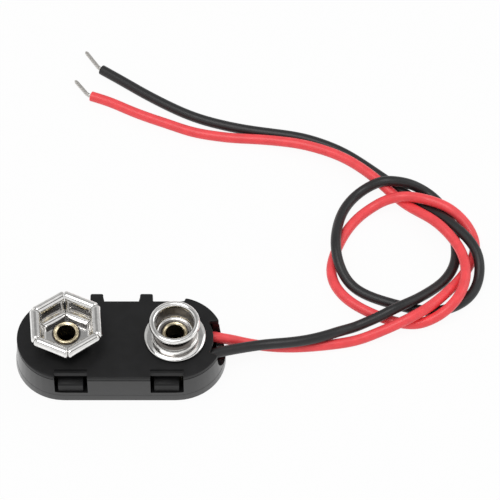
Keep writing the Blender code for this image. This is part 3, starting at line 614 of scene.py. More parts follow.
def nickel_finish():
    """Bright nickel on stamped sheet: faint waves and soft stains, rougher inside the stud's cup,
    with painted shade, a dark colour laid over the nickel, inside the cup, round the stud's neck,
    on the socket's walls and round the eyelets."""
    shell = bpy.context.scene.snap_shell
    contacts = bpy.context.scene.snap_contacts
    material, tree, place = new_finish("nickel_finish", contacts.nickel)
    waves = tree.noise(place, 0.9 * MM, 1.0)
    stains = tree.noise(place, 0.5 * MM, 3.0)
    tone = tree.blend(stains.step(0.35, 0.8), shade(contacts.nickel, 1.0),
                      shade(contacts.nickel, 0.82))
    side = tree.axis(place, "X")
    x = side.math("ABSOLUTE", side) - shell.spacing / 2
    y = tree.axis(place, "Y")
    radius = tree.root(x * x + y * y)
    height = tree.axis(place, "Z") - levels()[1]
    neck = contacts.stud_rim - contacts.stud_roll
    mouth = neck - contacts.stud_roll
    floor = contacts.floor_lift + contacts.stud_sheet
    rim = contacts.stud_height - contacts.stud_roll
    soft = contacts.painted_shade_edge
    stud = side.step(-soft, soft)
    upright = stud * height.band(floor + soft, floor + 3 * soft, rim - 2 * soft, rim)
    inside = upright * (1.0 - radius.step(mouth + 0.1 * soft, mouth + 0.5 * soft))
    around = upright * radius.band(mouth + soft, neck - 0.3 * soft, neck + 0.2 * soft,
                                   neck + 0.6 * soft)
    foot = contacts.floor_lift + contacts.socket_sheet + contacts.socket_fillet
    roll = contacts.socket_height - contacts.roll_rise
    walls = (1.0 - stud) * height.band(foot - soft, foot + soft, roll - 2 * soft, roll)
    ring = 1.0 - radius.step(contacts.eyelet_ring + soft, contacts.eyelet_ring + 2 * soft)
    # Painted shade: the dark shade colour blended over the nickel on the socket's walls, round the
    # stud's neck, inside its cup, and darker still round each eyelet, where it stands for the shadow
    # in a groove.
    for mask, dark in (
        (walls * contacts.wall_painted_shade, 1.0), (around * contacts.neck_painted_shade, 1.0),
        (inside * contacts.cup_painted_shade, 1.0), (ring * contacts.ring_painted_shade, 0.6),
    ):
        tone = tree.blend(mask, tone, shade(contacts.painted_shade, dark))
    tree.principled({
        "Base Color": tone,
        "Metallic": 1.0,
        "Roughness": 0.07 + 0.08 * stains + 0.3 * inside,
        "Normal": tree.bump(waves * 4.0),
    })
    return material


def brass_finish():
    """Rolled brass: warm, slightly dulled in patches."""
    contacts = bpy.context.scene.snap_contacts
    material, tree, place = new_finish("eyelet_brass_finish", contacts.brass)
    patches = tree.noise(place, 0.3 * MM, 3.0)
    tone = tree.blend(patches.step(0.4, 0.75), shade(contacts.brass, 1.0),
                      shade(contacts.brass, 0.7))
    tree.principled({
        "Base Color": tone,
        "Metallic": 1.0,
        "Roughness": 0.16 + 0.16 * patches,
        "Normal": tree.bump(patches * 3.0),
    })
    return material


def dull_metal_finish(name, value, roughness, grain):
    """Tin or solder: a satin metal with grains of one size."""
    material, tree, place = new_finish(name, value)
    grains = tree.noise(place, grain, 3.0)
    tone = tree.blend(grains.step(0.3, 0.8), shade(value, 1.1), shade(value, 0.75))
    tree.principled({
        "Base Color": tone,
        "Metallic": 1.0,
        "Roughness": roughness + 0.15 * grains,
        "Normal": tree.bump(grains * 3.0),
    })
    return material


def tin_finish():
    """Dull tin on the tags and the bare strands."""
    return dull_metal_finish("tin_finish", bpy.context.scene.snap_leads.tin, 0.28, 0.25 * MM)


def insulation_finish(name, value, roughness):
    """Soft insulation: a low sheen, faint scuffs and a slightly uneven surface."""
    material, tree, place = new_finish(name, value)
    uneven = tree.noise(place, 1.1 * MM, 2.0)
    scuffs = tree.noise(place, 0.22 * MM, 3.0, 0.6)
    tone = tree.blend(uneven.step(0.3, 0.7), shade(value, 0.93), shade(value, 1.06))
    tree.principled({
        "Base Color": tone,
        "Roughness": roughness + 0.12 * (scuffs - 0.5),
        "Normal": tree.bump(uneven * 6.0 + scuffs * 1.2),
    })
    return material


def shell_outline(notched):
    """The shell's outline: two round ends and a flat rear recess with soft corners, with or
    without the wire notch. It runs anticlockwise from the near side of the stud's end."""
    shell = bpy.context.scene.snap_shell
    half = shell.end_centre
    radius = shell.end_radius
    inner = radius - shell.notch_depth
    recess = shell.recess_length / 2
    rear = radius - shell.recess_depth
    step = 90.0 - degrees(asin((recess - half) / radius))
    corners = [arc((half, 0.0), radius, -90.0, step)]
    if notched:
        corners = [
            arc((half, 0.0), radius, -90.0, -degrees(asin(shell.notch_near / radius))),
            arc((half, 0.0), inner, -degrees(asin(shell.notch_root / inner)),
                degrees(asin(shell.notch_far / inner))),
            arc((half, 0.0), radius, degrees(asin(shell.notch_far / radius)), step),
        ]
    corners += [
        np.array([(recess, rear), (-recess, rear)]),
        arc((-half, 0.0), radius, 180.0 - step, 270.0),
    ]
    soft = softened(np.vstack(corners), OUTLINE_POINTS, shell.corner_round)
    return soft - (shell.outline_shift, 0.0)


def levels():
    """Heights of the plate's underside and top face."""
    shell = bpy.context.scene.snap_shell
    bottom = shell.rim_height + shell.seam_gap
    return bottom, bottom + shell.plate_thickness


def latch_tongue(name, centre):
    """A springy tongue: its side profile carried across the latch, with narrowed end faces."""
    shell = bpy.context.scene.snap_shell
    latch = bpy.context.scene.snap_latch
    bottom, top = levels()
    back = -(shell.end_radius - shell.wall - latch.tongue_setback)
    face = -(shell.end_radius - latch.nose_recess)
    low = latch.window_sill + latch.nose_clearance
    high = low + latch.nose_height
    root = (bottom + top) / 2
    corners = np.array([
        (back + latch.tongue_thickness, root), (back, root), (back, high + latch.nose_bevel),
        (face + latch.nose_bevel, high), (face, high - latch.nose_bevel), (face, low),
        (back + latch.tongue_thickness, low),
    ])
    half = latch.tongue_width / 2
    soft = latch.nose_round
    across = centre + np.array([-half, soft - half, half - soft, half])
    sizes = (latch.nose_taper, 1.0, 1.0, latch.nose_taper)
    return side_block(name, softened(corners, TONGUE_POINTS, soft), across, sizes)


def side_block(name, profile, places, sizes):
    """A closed outline in the YZ plane carried along X: at each place it is drawn toward its
    middle by the size there."""
    middle = profile.mean(axis=0)
    flat = middle + (profile - middle) * np.array(sizes)[:, None, None]
    x = np.broadcast_to(np.array(places)[:, None, None], flat.shape[:2] + (1,))
    return surface(name, np.concatenate([x, flat], axis=2), caps=True)


def eyelet_hole(centre, high):
    """A cutter for an eyelet's hole, from below the centre's height to high above it."""
    radius = bpy.context.scene.snap_shell.hole_radius
    profile = [(0.0, -PAST), (radius, -PAST), (radius, high), (0.0, high)]
    return turned("hole", profile, centre, ring=False)


def contact_plate():
    """The top plate with its bosses, eyelet holes, latch lips, grooves and tongues."""
    shell = bpy.context.scene.snap_shell
    latch = bpy.context.scene.snap_latch
    bottom, top = levels()
    edge = shell.edge_round
    under = edge / 2
    profile = np.vstack([
        (0.0, under) + arc((under, bottom), under, 270.0, 180.0),
        arc((edge, top - edge), edge, 180.0, 90.0),
    ])
    plate = edged_block("contact_plate_finish", shell_outline(True), profile)
    added, cutters = [], []
    for side in (-1.0, 1.0):
        foot = top - shell.plate_thickness / 2
        crown = top + shell.boss_height
        soft = shell.boss_round
        boss = np.vstack([
            [(0.0, foot), (shell.boss_radius, foot)],
            arc((shell.boss_radius - soft, crown - soft), soft, 0.0, 90.0),
            [(0.0, crown)],
        ])
        centre = (side * shell.spacing / 2, 0.0, 0.0)
        added.append(turned("boss", boss, centre, ring=False))
        middle = side * latch.offset
        added.append(latch_tongue("tongue", middle - latch.tongue_shift))
        middle -= latch.window_shift
        half = latch.window_width / 2
        lip = -shell.end_radius + latch.lip_recess
        groove = lip + latch.groove_inset
        cutters.append(block("lip", (middle - half, -shell.end_radius - PAST, bottom - PAST),
                             (middle + half, lip, top + PAST)))
        cutters.append(block("groove", (middle - half, groove, top - latch.groove_depth),
                             (middle + half, groove + latch.groove_width, top + PAST)))
        cutters.append(eyelet_hole(centre, top + PAST))
    combine(plate, added, "UNION")
    combine(plate, cutters, "DIFFERENCE")
    return plate


def tray():
    """The tray: a block whose walls lean out to a thicker foot, hollowed out, with a window for
    each latch and a round-bottomed slot for the leads."""
    shell = bpy.context.scene.snap_shell
    latch = bpy.context.scene.snap_latch
    half = shell.end_centre
    rim = shell.rim_height
    step = shell.base_step
    foot = shell.foot_round
    lip = shell.rim_round
    profile = np.vstack([
        arc((foot, foot), foot, 270.0, 180.0),
        [(0.0, shell.base_rim), (step, shell.base_rim + step)],
        arc((step + lip, rim - lip), lip, 180.0, 90.0),
    ])
    cover = edged_block("base_cover_finish", shell_outline(False), profile, shell.draft)
    radius = shell.end_radius - shell.wall
    rear = degrees(asin((shell.end_radius - shell.recess_depth - shell.wall) / radius))
    inside = np.vstack([
        arc((half, 0.0), radius, -90.0, rear),
        arc((-half, 0.0), radius, 180.0 - rear, 270.0),
    ])
    hollow = softened(inside, OUTLINE_POINTS, 2 * shell.corner_round)
    corner = shell.floor_round
    cavity = np.vstack([
        arc((corner, shell.floor + corner), corner, 270.0, 180.0),
        [(0.0, rim + PAST)],
    ])
    cutters = [edged_block("cavity", hollow, cavity)]
    for side in (-1.0, 1.0):
        middle = side * latch.offset - latch.window_shift
        wide = latch.window_width / 2
        near = -shell.end_radius
        cutters.append(block("window", (middle - wide, near - PAST, latch.window_sill),
                             (middle + wide, near + 1.5 * shell.wall, rim + PAST)))
    round_foot = (shell.slot_near + shell.notch_far) / 2
    low = ((shell.notch_far - shell.slot_near) / 2, shell.slot_sill + round_foot)
    slot = np.vstack([
        arc(low, round_foot, 180.0, 360.0),
        [(shell.notch_far, rim + PAST), (-shell.slot_near, rim + PAST)],
    ])
    end = half + shell.end_radius
    places = (end - shell.notch_depth - shell.wall, end + shell.wall)
    slot = softened(slot, SLOT_POINTS, shell.slot_round)
    cutters.append(side_block("slot", slot, places, (1.0, 1.0)))
    combine(cover, cutters, "DIFFERENCE")
    return cover


def hinge_strap(name, centre):
    """A moulded strap: a band bent out of the plate's rear edge, down and back to the tray. Its
    outline in the YZ plane is carried across with rounded sides. Seen from above, its outer
    corners are round and its root widens in a fillet on both sides."""
    shell = bpy.context.scene.snap_shell
    latch = bpy.context.scene.snap_latch
    thick = latch.strap_thickness
    bend = latch.strap_round
    crease = bend / 4
    edge = latch.strap_edge
    rear = shell.end_radius - shell.recess_depth
    root = rear - latch.strap_sink
    outer = STRAP_BOX[1].y + latch.strap_reach
    high, low = STRAP_BOX[1].z, STRAP_BOX[0].z
    inner = outer - thick - crease
    outline = np.vstack([
        [(root, low)],
        arc((outer - bend, low + bend), bend, -90.0, 0.0),
        arc((outer - bend, high - bend), bend, 0.0, 90.0),
        [(root, high), (root, high - thick)],
        arc((inner, high - thick - crease), crease, 90.0, 0.0),
        arc((inner, low + thick + crease), crease, 0.0, -90.0),
        [(root, low + thick)],
    ])
    half = latch.strap_width / 2
    flat = softened(outline, STRAP_POINTS, latch.strap_soft)
    profile = np.vstack([
        arc((edge, edge - half), edge, 270.0, 180.0), arc((edge, half - edge), edge, 180.0, 90.0),
    ])
    along = np.roll(flat, -1, axis=0) - np.roll(flat, 1, axis=0)
    outward = np.stack([along[:, 1], -along[:, 0]], axis=1)
    outward /= np.linalg.norm(outward, axis=1)[:, None]
    inset, across = profile.T
    y, z = np.moveaxis(flat - inset[:, None, None] * outward, 2, 0)
    corner, flare = latch.strap_corner, latch.strap_flare
    past = np.clip(y - outer + corner, 0.0, corner)
    short = np.clip(rear + flare - y, 0.0, flare)
    wider = (flare - np.sqrt(flare ** 2 - short ** 2)) - (corner - np.sqrt(corner ** 2 - past ** 2))
    x = across[:, None] * (1.0 + wider / half) + centre - latch.strap_shift
    return surface(name, np.stack([x, y, z], axis=2), caps=True)


def sheet_outline(line, thickness):
    """The closed outline of a sheet: its middle line, moved half a thickness to either side."""
    along = np.gradient(line, axis=0)
    along /= np.linalg.norm(along, axis=1)[:, None]
    across = np.stack([-along[:, 1], along[:, 0]], axis=1) * thickness / 2
    return np.vstack([line + across, (line - across)[::-1]])


def petal_line(bend, pinch):
    """The middle of a petal's sheet in (distance, height): along the floor, round a bend of the
    given radius, up the wall, out along a quarter of an ellipse and down round the roll's outer
    side, which the pinch draws in."""
    sizes = bpy.context.scene.snap_contacts
    half = sizes.socket_sheet / 2
    wall = sizes.socket_throat + half
    floor = sizes.floor_lift + half
    top = sizes.socket_height - half - pinch / 3
    turn = sizes.roll_bend - half
    slope = sizes.roll_width - sizes.roll_bend - half - pinch
    drop = sizes.roll_rise - half
    low = np.vstack([
        [(sizes.socket_throat - sizes.socket_fillet, floor)],
        arc((wall - bend, floor + bend), bend, 270.0, 360.0),
        [(wall, top - drop)],
    ])
    upper = arc((0.0, 0.0), 1.0, 180.0, 90.0) * (slope, drop) + (wall + slope, top - drop)
    under = top - turn - sizes.roll_flank
    roll = np.vstack([
        upper,
        arc((wall + slope, top - turn), turn, 90.0, 0.0),
        arc((wall + slope, under), turn, 0.0, -degrees(sizes.socket_curl)),
    ])
    return np.vstack([evenly(low, PETAL_FOOT), evenly(roll, PETAL_ROLL)[1:]])


def smooth(part):
    """0 below 0, 1 above 1, and 3 p^2 - 2 p^3 between them."""
    part = np.clip(part, 0.0, 1.0)
    return part * part * (3.0 - 2.0 * part)


def socket_petal(turn, plate_top):
    """One petal of the socket: the outline of its sheet, carried sideways to the mitre with its
    neighbours less half the slit. The slit is widest half way up the wall, the bend at the foot
    and the roll tighten towards the ends, and the cut edges are rounded."""
    shell = bpy.context.scene.snap_shell
    sizes = bpy.context.scene.snap_contacts
    inset = PETAL_INSETS * MM
    tighter = (sizes.corner_bend - sizes.socket_fillet) * (1.0 - smooth(inset / sizes.corner_reach))
    bends = sizes.socket_fillet + tighter
    ends = np.clip(1.0 - inset / sizes.roll_end, 0.0, 1.0) ** 1.5
    neck = sizes.socket_height - 2 * sizes.roll_rise
    rows = []
    for edge, thinning, bend, end in zip(inset, PETAL_THINNING, bends, ends):
        line = petal_line(bend, sizes.roll_pinch * end)
        distance, height = sheet_outline(line, sizes.socket_sheet * thinning).T
        opened = smooth((height - sizes.floor_lift - sizes.socket_sheet) / sizes.slit_rise)
        closed = smooth((height - neck) / sizes.roll_rise)
        slit = sizes.slit_root + (sizes.slit_wall - sizes.slit_root) * opened
        slit = slit + (sizes.slit_top - sizes.slit_wall) * closed
        outer = 2 * (distance - sizes.socket_throat) / sizes.roll_width - 1.0
        corner = sizes.roll_corner * np.clip(outer, 0.0, 1.0) ** 2
        reach = distance * tan(pi / 6) - slit / 2 - corner
        rows.append(np.stack([distance, reach - edge, height], axis=1))
    rows = np.array(rows)
    grid = np.vstack([rows, rows[::-1] * (1.0, -1.0, 1.0)])
    angle = sizes.socket_turn + turn
    along, across, height = np.moveaxis(grid, 2, 0)
    x = along * cos(angle) - across * sin(angle) - shell.spacing / 2 + sizes.socket_shift[0]
    y = along * sin(angle) + across * cos(angle) + sizes.socket_shift[1]
    return surface("petal", np.stack([x, y, height + plate_top], axis=2), caps=True)


def socket_contact():
    """The socket: a hexagonal floor joined to six petals, with the eyelet's hole."""
    shell = bpy.context.scene.snap_shell
    sizes = bpy.context.scene.snap_contacts
    top = levels()[1]
    centre = (-shell.spacing / 2, 0.0, top)
    skin = sizes.socket_sheet / 20
    reach = sizes.socket_throat + sizes.socket_sheet / 2 - sizes.socket_fillet
    corner = reach / cos(pi / 6)
    low = sizes.floor_lift - skin
    high = sizes.floor_lift + sizes.socket_sheet + skin
    angle = sizes.socket_turn + np.arange(6) * pi / 3 + pi / 6
    hexagon = corner * np.stack([np.cos(angle), np.sin(angle)], axis=1) + centre[:2] \
        + np.array(sizes.socket_shift)
    floor = edged_block("socket_contact_finish", evenly(hexagon, HEXAGON_POINTS, closed=True),
                        [(0.0, top + low), (0.0, top + high)])
    combine(floor, [socket_petal(turn * pi / 3, top) for turn in range(6)], "UNION")
    combine(floor, [eyelet_hole(centre, PAST)], "DIFFERENCE")
    return floor


def stud_contact():
    """The stud: a turned section with a rolled rim, a necked wall, a flange with a rounded edge
    and a floor on the plate's boss."""
    shell = bpy.context.scene.snap_shell
    sizes = bpy.context.scene.snap_contacts
    roll = sizes.stud_roll
    neck = sizes.stud_rim - roll
    rim = (neck, sizes.stud_height - roll)
    low = sizes.flange_lift
    flange = low + sizes.stud_sheet
    under = sizes.floor_lift
    floor = under + sizes.stud_sheet
    fillet = sizes.stud_fillet
    bead = arc((0.0, 0.0), 1.0, 90.0, 0.0) * (sizes.stud_bead, sizes.stud_sheet)
    cup = sizes.cup_fillet
    profile = np.vstack([
        arc(rim, roll, 90.0, -90.0),
        arc((neck + fillet, flange + fillet), fillet, 180.0, 270.0),
        bead + (sizes.stud_flange - sizes.stud_bead, low),
        [(neck - roll, low), (neck - roll, under)],
        [(shell.hole_radius, under), (shell.hole_radius, floor)],
        arc((neck - roll - cup, floor + cup), cup, 270.0, 360.0),
        arc(rim, roll, 180.0, 100.0),
    ])
    return turned("stud_contact_finish", profile, (shell.spacing / 2, 0.0, levels()[1]))


def eyelet(name, side, sheet, ring):
    """An eyelet: a tube with a rolled ring on the contact's floor and a flat foot under the tag."""
    shell = bpy.context.scene.snap_shell
    sizes = bpy.context.scene.snap_contacts
    low = sizes.floor_lift + sheet + sizes.seat_gap
    roll = sizes.eyelet_ring_height / 2
    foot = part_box(name)[0].z - levels()[1]
    foot_top = foot + sizes.eyelet_foot_height
    soft = sizes.eyelet_foot_round
    profile = np.vstack([
        arc((ring - roll, low + roll), roll, 120.0, -75.0),
        [(sizes.eyelet_barrel, low), (sizes.eyelet_barrel, foot_top)],
        [(sizes.eyelet_ring - soft, foot_top)],
        arc((sizes.eyelet_ring - soft, foot + soft), soft, 0.0, -90.0),
        [(sizes.eyelet_bore, foot), (sizes.eyelet_bore, low + roll)],
    ])
    return turned(name + "_finish", profile, (side * shell.spacing / 2, 0.0, levels()[1]))


def lead_path(route, radius):
    """Evenly spaced points on the smooth curve through a lead's route points. Between two points
    b and c, with a before and d after, it is the cubic b + (t(c - a) + t^2(2a - 5b + 4c - d) +
    t^3(3b - 3c + d - a)) / 2."""
    leads = bpy.context.scene.snap_leads
    table = radius + TABLE_CLEARANCE
    line = np.array([(*point, table / MM)[:3] for point in route]) * MM
    line = np.vstack([2 * line[0] - line[1], line, 2 * line[-1] - line[-2]])
    t = np.linspace(0.0, 1.0, ROUTE_STEPS, endpoint=False)[:, None, None]
    a, b, c, d = line[:-3], line[1:-2], line[2:-1], line[3:]
    curve = b + 0.5 * (t * (c - a) + t ** 2 * (2 * a - 5 * b + 4 * c - d)
                       + t ** 3 * (3 * b - 3 * c + d - a))
    dense = np.vstack([curve.transpose(1, 0, 2).reshape(-1, 3), line[-2:-1]])
    points = evenly(dense, LEAD_RINGS)
    points[:, 2] = np.maximum(points[:, 2], table)
    plan = eased(points, leads.bend_ease)[:, :2]
    return np.column_stack([plan, eased(points, leads.rise_ease)[:, 2]])


def eased(points, spread):
    """A line smoothed by a bell-weighted mean, with its ends kept."""
    step = np.linalg.norm(points[1] - points[0])
    reach = int(3 * spread / step)
    bell = np.exp(-0.5 * (np.arange(-reach, reach + 1) * step / spread) ** 2)
    before = 2 * points[0] - points[reach:0:-1]
    after = 2 * points[-1] - points[-2:-reach - 2:-1]
    long = np.vstack([before, points, after])
    return np.stack([np.convolve(axis, bell / bell.sum(), "valid") for axis in long.T], axis=1)


def lead(name, path, radius):
    """An insulated lead: a circle carried along its path, with a rounded rim at each cut end."""
    rim = bpy.context.scene.snap_leads.cut_round
    travelled = np.linalg.norm(path[1] - path[0]) * np.arange(len(path))
    step = np.array([0.0, 0.3, 0.7, 1.0]) * rim
    places = np.concatenate([step, travelled[1:-1], travelled[-1] - step[::-1]])
    fine = np.stack([np.interp(places, travelled, axis) for axis in path.T], axis=1)
    end = np.clip(np.minimum(places, travelled[-1] - places) / rim, 0.0, 1.0)
    size = radius - rim + rim * np.sqrt(1.0 - (1.0 - end) ** 2)
    angle = np.linspace(0.0, 2 * pi, LEAD_SIDES, endpoint=False)
    circle = np.stack([np.cos(angle), np.sin(angle)], axis=1)
    return carried(name, fine, size[:, None, None] * circle, (0.0, 0.0, 1.0))


def twisted_end(name, corners, radius, tapered):
    """A bare end of twisted strands: a lobed circle, radius (1 - lobe + lobe |cos(n a / 2)|), that
    turns once in each lay as it is carried along, and shrinks to a blunt tip."""
    leads = bpy.context.scene.snap_leads
    path = eased(evenly(np.array(corners), STRAND_RINGS), leads.bare_ease)
    steps = np.linalg.norm(np.diff(path, axis=0), axis=1)
    travelled = np.concatenate([[0.0], np.cumsum(steps)])
    angle = np.linspace(0.0, 2 * pi, 8 * leads.strands, endpoint=False)
    turn = 2 * pi * travelled / leads.lay
    lobes = np.abs(np.cos(leads.strands * (angle - turn[:, None]) / 2))
    left = (travelled[-1] - travelled) / radius
    tip = np.sqrt(np.clip(1.0 - (1.0 - left / 2) ** 2, 0.05, 1.0))
    shrink = np.where(left < 2, tip, 1.0) if tapered else np.ones(len(path))
    size = radius * shrink[:, None] * (1.0 - leads.lobe + leads.lobe * lobes)
    circle = np.stack([np.cos(angle), np.sin(angle)], axis=1)
    return carried(name, path, size[:, :, None] * circle, (0.0, 0.0, 1.0))


def solder_drop(name):
    """A drop of solder under a tag: the lower half of an ellipsoid with a flared rim."""
    leads = bpy.context.scene.snap_leads
    low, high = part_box(name)
    centre = ((low.x + high.x) / 2, (low.y + high.y) / 2, high.z)
    angle = np.radians(np.linspace(0.0, 90.0, SOLDER_RINGS))
    radius = leads.solder_radius * np.cos(angle) ** 1.3
    height = -leads.solder_depth * np.sin(angle)
    profile = np.vstack([[(0.0, 0.0)], np.stack([radius, height], axis=1)])
    return turned(name + "_finish", profile, centre, SOLDER_SIDES, ring=False)


class SNAP_OT_plate(bpy.types.Operator):
    """Build the top plate with its latch tongues"""

    bl_idname = "snap.plate"
    bl_label = "Contact plate"

    def execute(self, context):
        plastic = plastic_finish("plate_finish", 1.0)
        finish_piece(contact_plate(), plastic, ["contact_plate"], "plate")
        return {"FINISHED"}


class SNAP_OT_tray(bpy.types.Operator):
    """Build the tray that closes the shell from below"""

    bl_idname = "snap.tray"
    bl_label = "Tray"

    def execute(self, context):
        plastic = plastic_finish("tray_finish", 0.0)
        finish_piece(tray(), plastic, ["base_cover"], "tray")
        return {"FINISHED"}


class SNAP_OT_straps(bpy.types.Operator):
    """Build the two hinge straps, which bend between the plate and the tray"""

    bl_idname = "snap.straps"
    bl_label = "Hinge straps"

    def execute(self, context):
        plastic = plastic_finish("plate_finish", 1.0)
        for side in ("left", "right"):
            node = "hinge_strap_" + side
            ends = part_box(node)
            strap = hinge_strap(node + "_finish", (ends[0].x + ends[1].x) / 2)
            finish_piece(strap, plastic, [node])
            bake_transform(strap)
        return {"FINISHED"}


class SNAP_OT_socket(bpy.types.Operator):
    """Build the six-petal socket"""

    bl_idname = "snap.socket"
    bl_label = "Socket contact"

    def execute(self, context):
        finish_piece(socket_contact(), nickel_finish(), ["socket_contact"], "plate")
        return {"FINISHED"}


class SNAP_OT_stud(bpy.types.Operator):
    """Build the round stud"""

    bl_idname = "snap.stud"
    bl_label = "Stud contact"

    def execute(self, context):
        finish_piece(stud_contact(), nickel_finish(), ["stud_contact"], "plate")
        return {"FINISHED"}


class SNAP_OT_eyelets(bpy.types.Operator):
    """Build the eyelets that rivet the contacts to the plate"""

    bl_idname = "snap.eyelets"
    bl_label = "Eyelets"

    def execute(self, context):
        sizes = context.scene.snap_contacts
        brass = brass_finish()
        for node, side, sheet, ring in (
            ("socket_eyelet", -1.0, sizes.socket_sheet, sizes.socket_ring),
            ("stud_eyelet", 1.0, sizes.stud_sheet, sizes.eyelet_ring),
        ):
            finish_piece(eyelet(node, side, sheet, ring), brass, [node], "plate")
        return {"FINISHED"}


class SNAP_OT_joints(bpy.types.Operator):
    """Finish the solder tags and build the solder joints under the plate"""

    bl_idname = "snap.joints"
    bl_label = "Tags and solder"

    def execute(self, context):
        leads = context.scene.snap_leads
        tin = tin_finish()
        solder = dull_metal_finish("solder_finish", leads.solder, 0.22, 0.4 * MM)
        for contact in ("socket", "stud"):
            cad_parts[contact + "_solder_tag"].material_slots[0].material = tin
            joint = contact + "_solder_joint"
            finish_piece(solder_drop(joint), solder, [joint], "plate")
        return {"FINISHED"}


class SNAP_OT_leads(bpy.types.Operator):
    """Build the red and the black lead with their bare ends"""

    bl_idname = "snap.leads"
    bl_label = "Leads"

    def execute(self, context):
        leads = context.scene.snap_leads
        tin = tin_finish()
        radius = leads.diameter / 2
        core = leads.conductor / 2
        gap = context.scene.snap_contacts.seat_gap
        for name, route, tip, leaves, value, roughness in (
            ("red", RED_ROUTE, RED_TIP, RED_EXIT, leads.red, 0.36),
            ("black", BLACK_ROUTE, BLACK_TIP, BLACK_EXIT, leads.black, 0.42),
        ):
            path = lead_path(route, radius)
            wire = lead(name + "_wire_finish", path, radius)
            jacket = insulation_finish(name + "_insulation_finish", value, roughness)
            finish_piece(wire, jacket, [name + "_wire"], "plate")

            joint = "socket_solder_joint" if name == "red" else "stud_solder_joint"
            low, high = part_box(joint)
            target = np.array([(low.x + high.x) / 2, (low.y + high.y) / 2, (low.z + high.z) / 2])
            into = (path[0] - path[1]) / np.linalg.norm(path[1] - path[0])
            start = path[0] + gap * into
            inner = twisted_end(name + "_inner_end_finish", [start, start + core * into, target],
                                core, False)
            finish_piece(inner, tin, [name + "_inner_end"], "plate", 80.0)

            along = (path[-1] - path[-2]) / np.linalg.norm(path[-1] - path[-2])
            start = path[-1] + gap * along
            middle = start + leads.bare_start * along
            far = twisted_end(name + "_far_end_finish", [start, middle, np.array(tip) * MM], core,
                              True)
            finish_piece(far, tin, [name + "_far_end"], "plate", 80.0)

        return {"FINISHED"}


def floor_finish():
    """A pale floor that the camera and reflections see almost white, with a faint shadow kept."""
    stage = bpy.context.scene.snap_stage
    material, tree, place = new_finish("floor_finish", stage.floor_colour)
    clouds = tree.noise(place, 0.5, 1.0)
    tone = tree.blend(clouds, shade(stage.floor_colour, 0.99), shade(stage.floor_colour, 1.01))
    path = tree.node("ShaderNodeLightPath", output="Is Camera Ray")
    glossy = tree.node("ShaderNodeLightPath", output="Is Glossy Ray")
    clear = tree.node("ShaderNodeLightPath", output="Is Transmission Ray")
    seen = path.over(glossy).over(clear)
    lit = tree.node("ShaderNodeBsdfDiffuse", None, {"Color": tone})
    white = tree.node("ShaderNodeEmission", None, {"Strength": 1.0})
    mixed = tree.node("ShaderNodeMixShader", None, {0: seen * stage.floor_white, 1: lit, 2: white})
    tree.node("ShaderNodeOutputMaterial", None, {"Surface": mixed})
    return material


def studio_world():
    """Even light from all round. The camera sees plain white, and polished metal sees a white tent
    with a band round it that is dark on the near side and grey on the far side."""
    stage = bpy.context.scene.snap_stage
    world = bpy.data.worlds.new("studio")
    bpy.context.scene.world = world
    tree = Shader(world)
    direction = tree.node("ShaderNodeTexCoord", output="Generated")

    height = tree.axis(direction, "Z")
    behind = tree.axis(direction, "Y").step(0.15, 0.4)
    below, above = [height.step(sin(edge - stage.band_soft), sin(edge + stage.band_soft))
                    for edge in (stage.band_low, stage.band_high)]
    depth = stage.band_depth + (stage.back_depth - stage.band_depth) * behind
    tent = 1.0 - depth * (below - above) - stage.low_depth * behind * (1.0 - below)
    seen = tree.node("ShaderNodeLightPath", output="Is Camera Ray")
    clear = tree.node("ShaderNodeLightPath", output="Is Transmission Ray")
    glossy = tree.node("ShaderNodeLightPath", output="Is Glossy Ray")
    white = seen.over(clear)
    strength = white + (1.0 - white) * (glossy * tent + (1.0 - glossy) * stage.sky)
    made = tree.node("ShaderNodeBackground", None, {"Strength": strength})
    tree.node("ShaderNodeOutputWorld", None, {"Surface": made})


def square_lamp(name, place, size, energy):
    """A square lamp that faces the lamps' target."""
    lamp = bpy.data.lights.new(name, "AREA")
    lamp.size = size
    lamp.energy = energy
    obj = bpy.data.objects.new(name, lamp)
    bpy.context.scene.collection.objects.link(obj)
    obj.location = place
    aim = np.array(LAMP_TARGET) - place
    obj.rotation_euler = (np.arctan2(np.hypot(aim[0], aim[1]), -aim[2]), 0.0,
                          np.arctan2(aim[1], aim[0]) - pi / 2)
    return obj


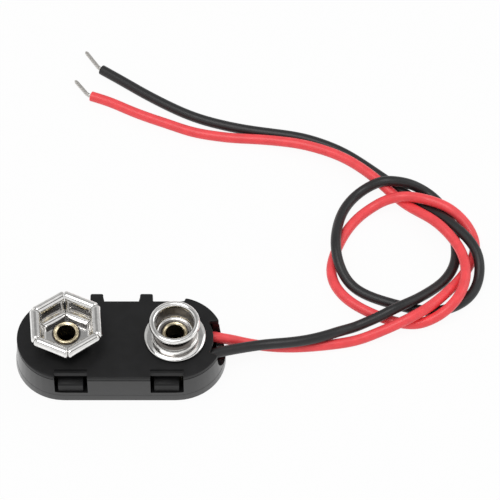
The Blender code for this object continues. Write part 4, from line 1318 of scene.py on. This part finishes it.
class SNAP_OT_stage(bpy.types.Operator):
    """Set up the floor, the light and the camera"""

    bl_idname = "snap.stage"
    bl_label = "Floor, light and camera"

    def execute(self, context):
        stage = context.scene.snap_stage
        half = stage.floor_size / 2
        side = np.linspace(-half, half, 5)
        x, y = np.meshgrid(side, side)
        floor = surface("floor", np.stack([x, y, np.zeros_like(x)], axis=2), around=False)
        floor.data.materials.append(floor_finish())
        studio_world()
        square_lamp("key_lamp", KEY_PLACE, stage.lamp_size, stage.key)
        square_lamp("fill_lamp", FILL_PLACE, stage.lamp_size, stage.fill)
        view = bpy.data.cameras.new("camera")
        view.lens = CAMERA_LENS
        view.sensor_width = SENSOR_WIDTH
        view.clip_start = 0.01
        camera = bpy.data.objects.new("camera", view)
        context.scene.collection.objects.link(camera)
        camera.location = CAMERA_PLACE
        camera.rotation_euler = (radians(CAMERA_TILT), 0.0, 0.0)
        context.scene.camera = camera
        context.scene.view_settings.view_transform = "Standard"
        return {"FINISHED"}


OPERATORS = [
    SNAP_OT_stage, SNAP_OT_leads, SNAP_OT_plate, SNAP_OT_tray, SNAP_OT_straps, SNAP_OT_socket,
    SNAP_OT_stud, SNAP_OT_eyelets, SNAP_OT_joints,
]
GROUPS = {
    "snap_shell": ShellSizes,
    "snap_latch": LatchSizes,
    "snap_contacts": ContactSizes,
    "snap_leads": LeadSizes,
    "snap_stage": StageSettings,
}


class SNAP_PT_panel(bpy.types.Panel):
    """The pieces and their sizes"""

    bl_idname = "SNAP_PT_panel"
    bl_label = "Snap connector"
    bl_space_type = "VIEW_3D"
    bl_region_type = "UI"
    bl_category = "Snap connector"

    def draw(self, context):
        for operator in OPERATORS:
            self.layout.operator(operator.bl_idname)
        for name, group in GROUPS.items():
            box = self.layout.box()
            box.label(text=group.__doc__)
            for field in group.__annotations__:
                box.prop(getattr(context.scene, name), field)


def register():
    for group in GROUPS.values():
        bpy.utils.register_class(group)
    for name, group in GROUPS.items():
        setattr(bpy.types.Scene, name, PointerProperty(type=group))
    for operator in OPERATORS:
        bpy.utils.register_class(operator)
    bpy.utils.register_class(SNAP_PT_panel)


def unregister():
    bpy.utils.unregister_class(SNAP_PT_panel)
    for operator in reversed(OPERATORS):
        bpy.utils.unregister_class(operator)
    for name in GROUPS:
        delattr(bpy.types.Scene, name)
    for group in GROUPS.values():
        bpy.utils.unregister_class(group)


def main():
    """Register the panel and its sizes, and build every piece."""
    register()
    for operator in OPERATORS:
        category, name = operator.bl_idname.split(".")
        getattr(getattr(bpy.ops, category), name)()


if __name__ == "__main__":
    main()
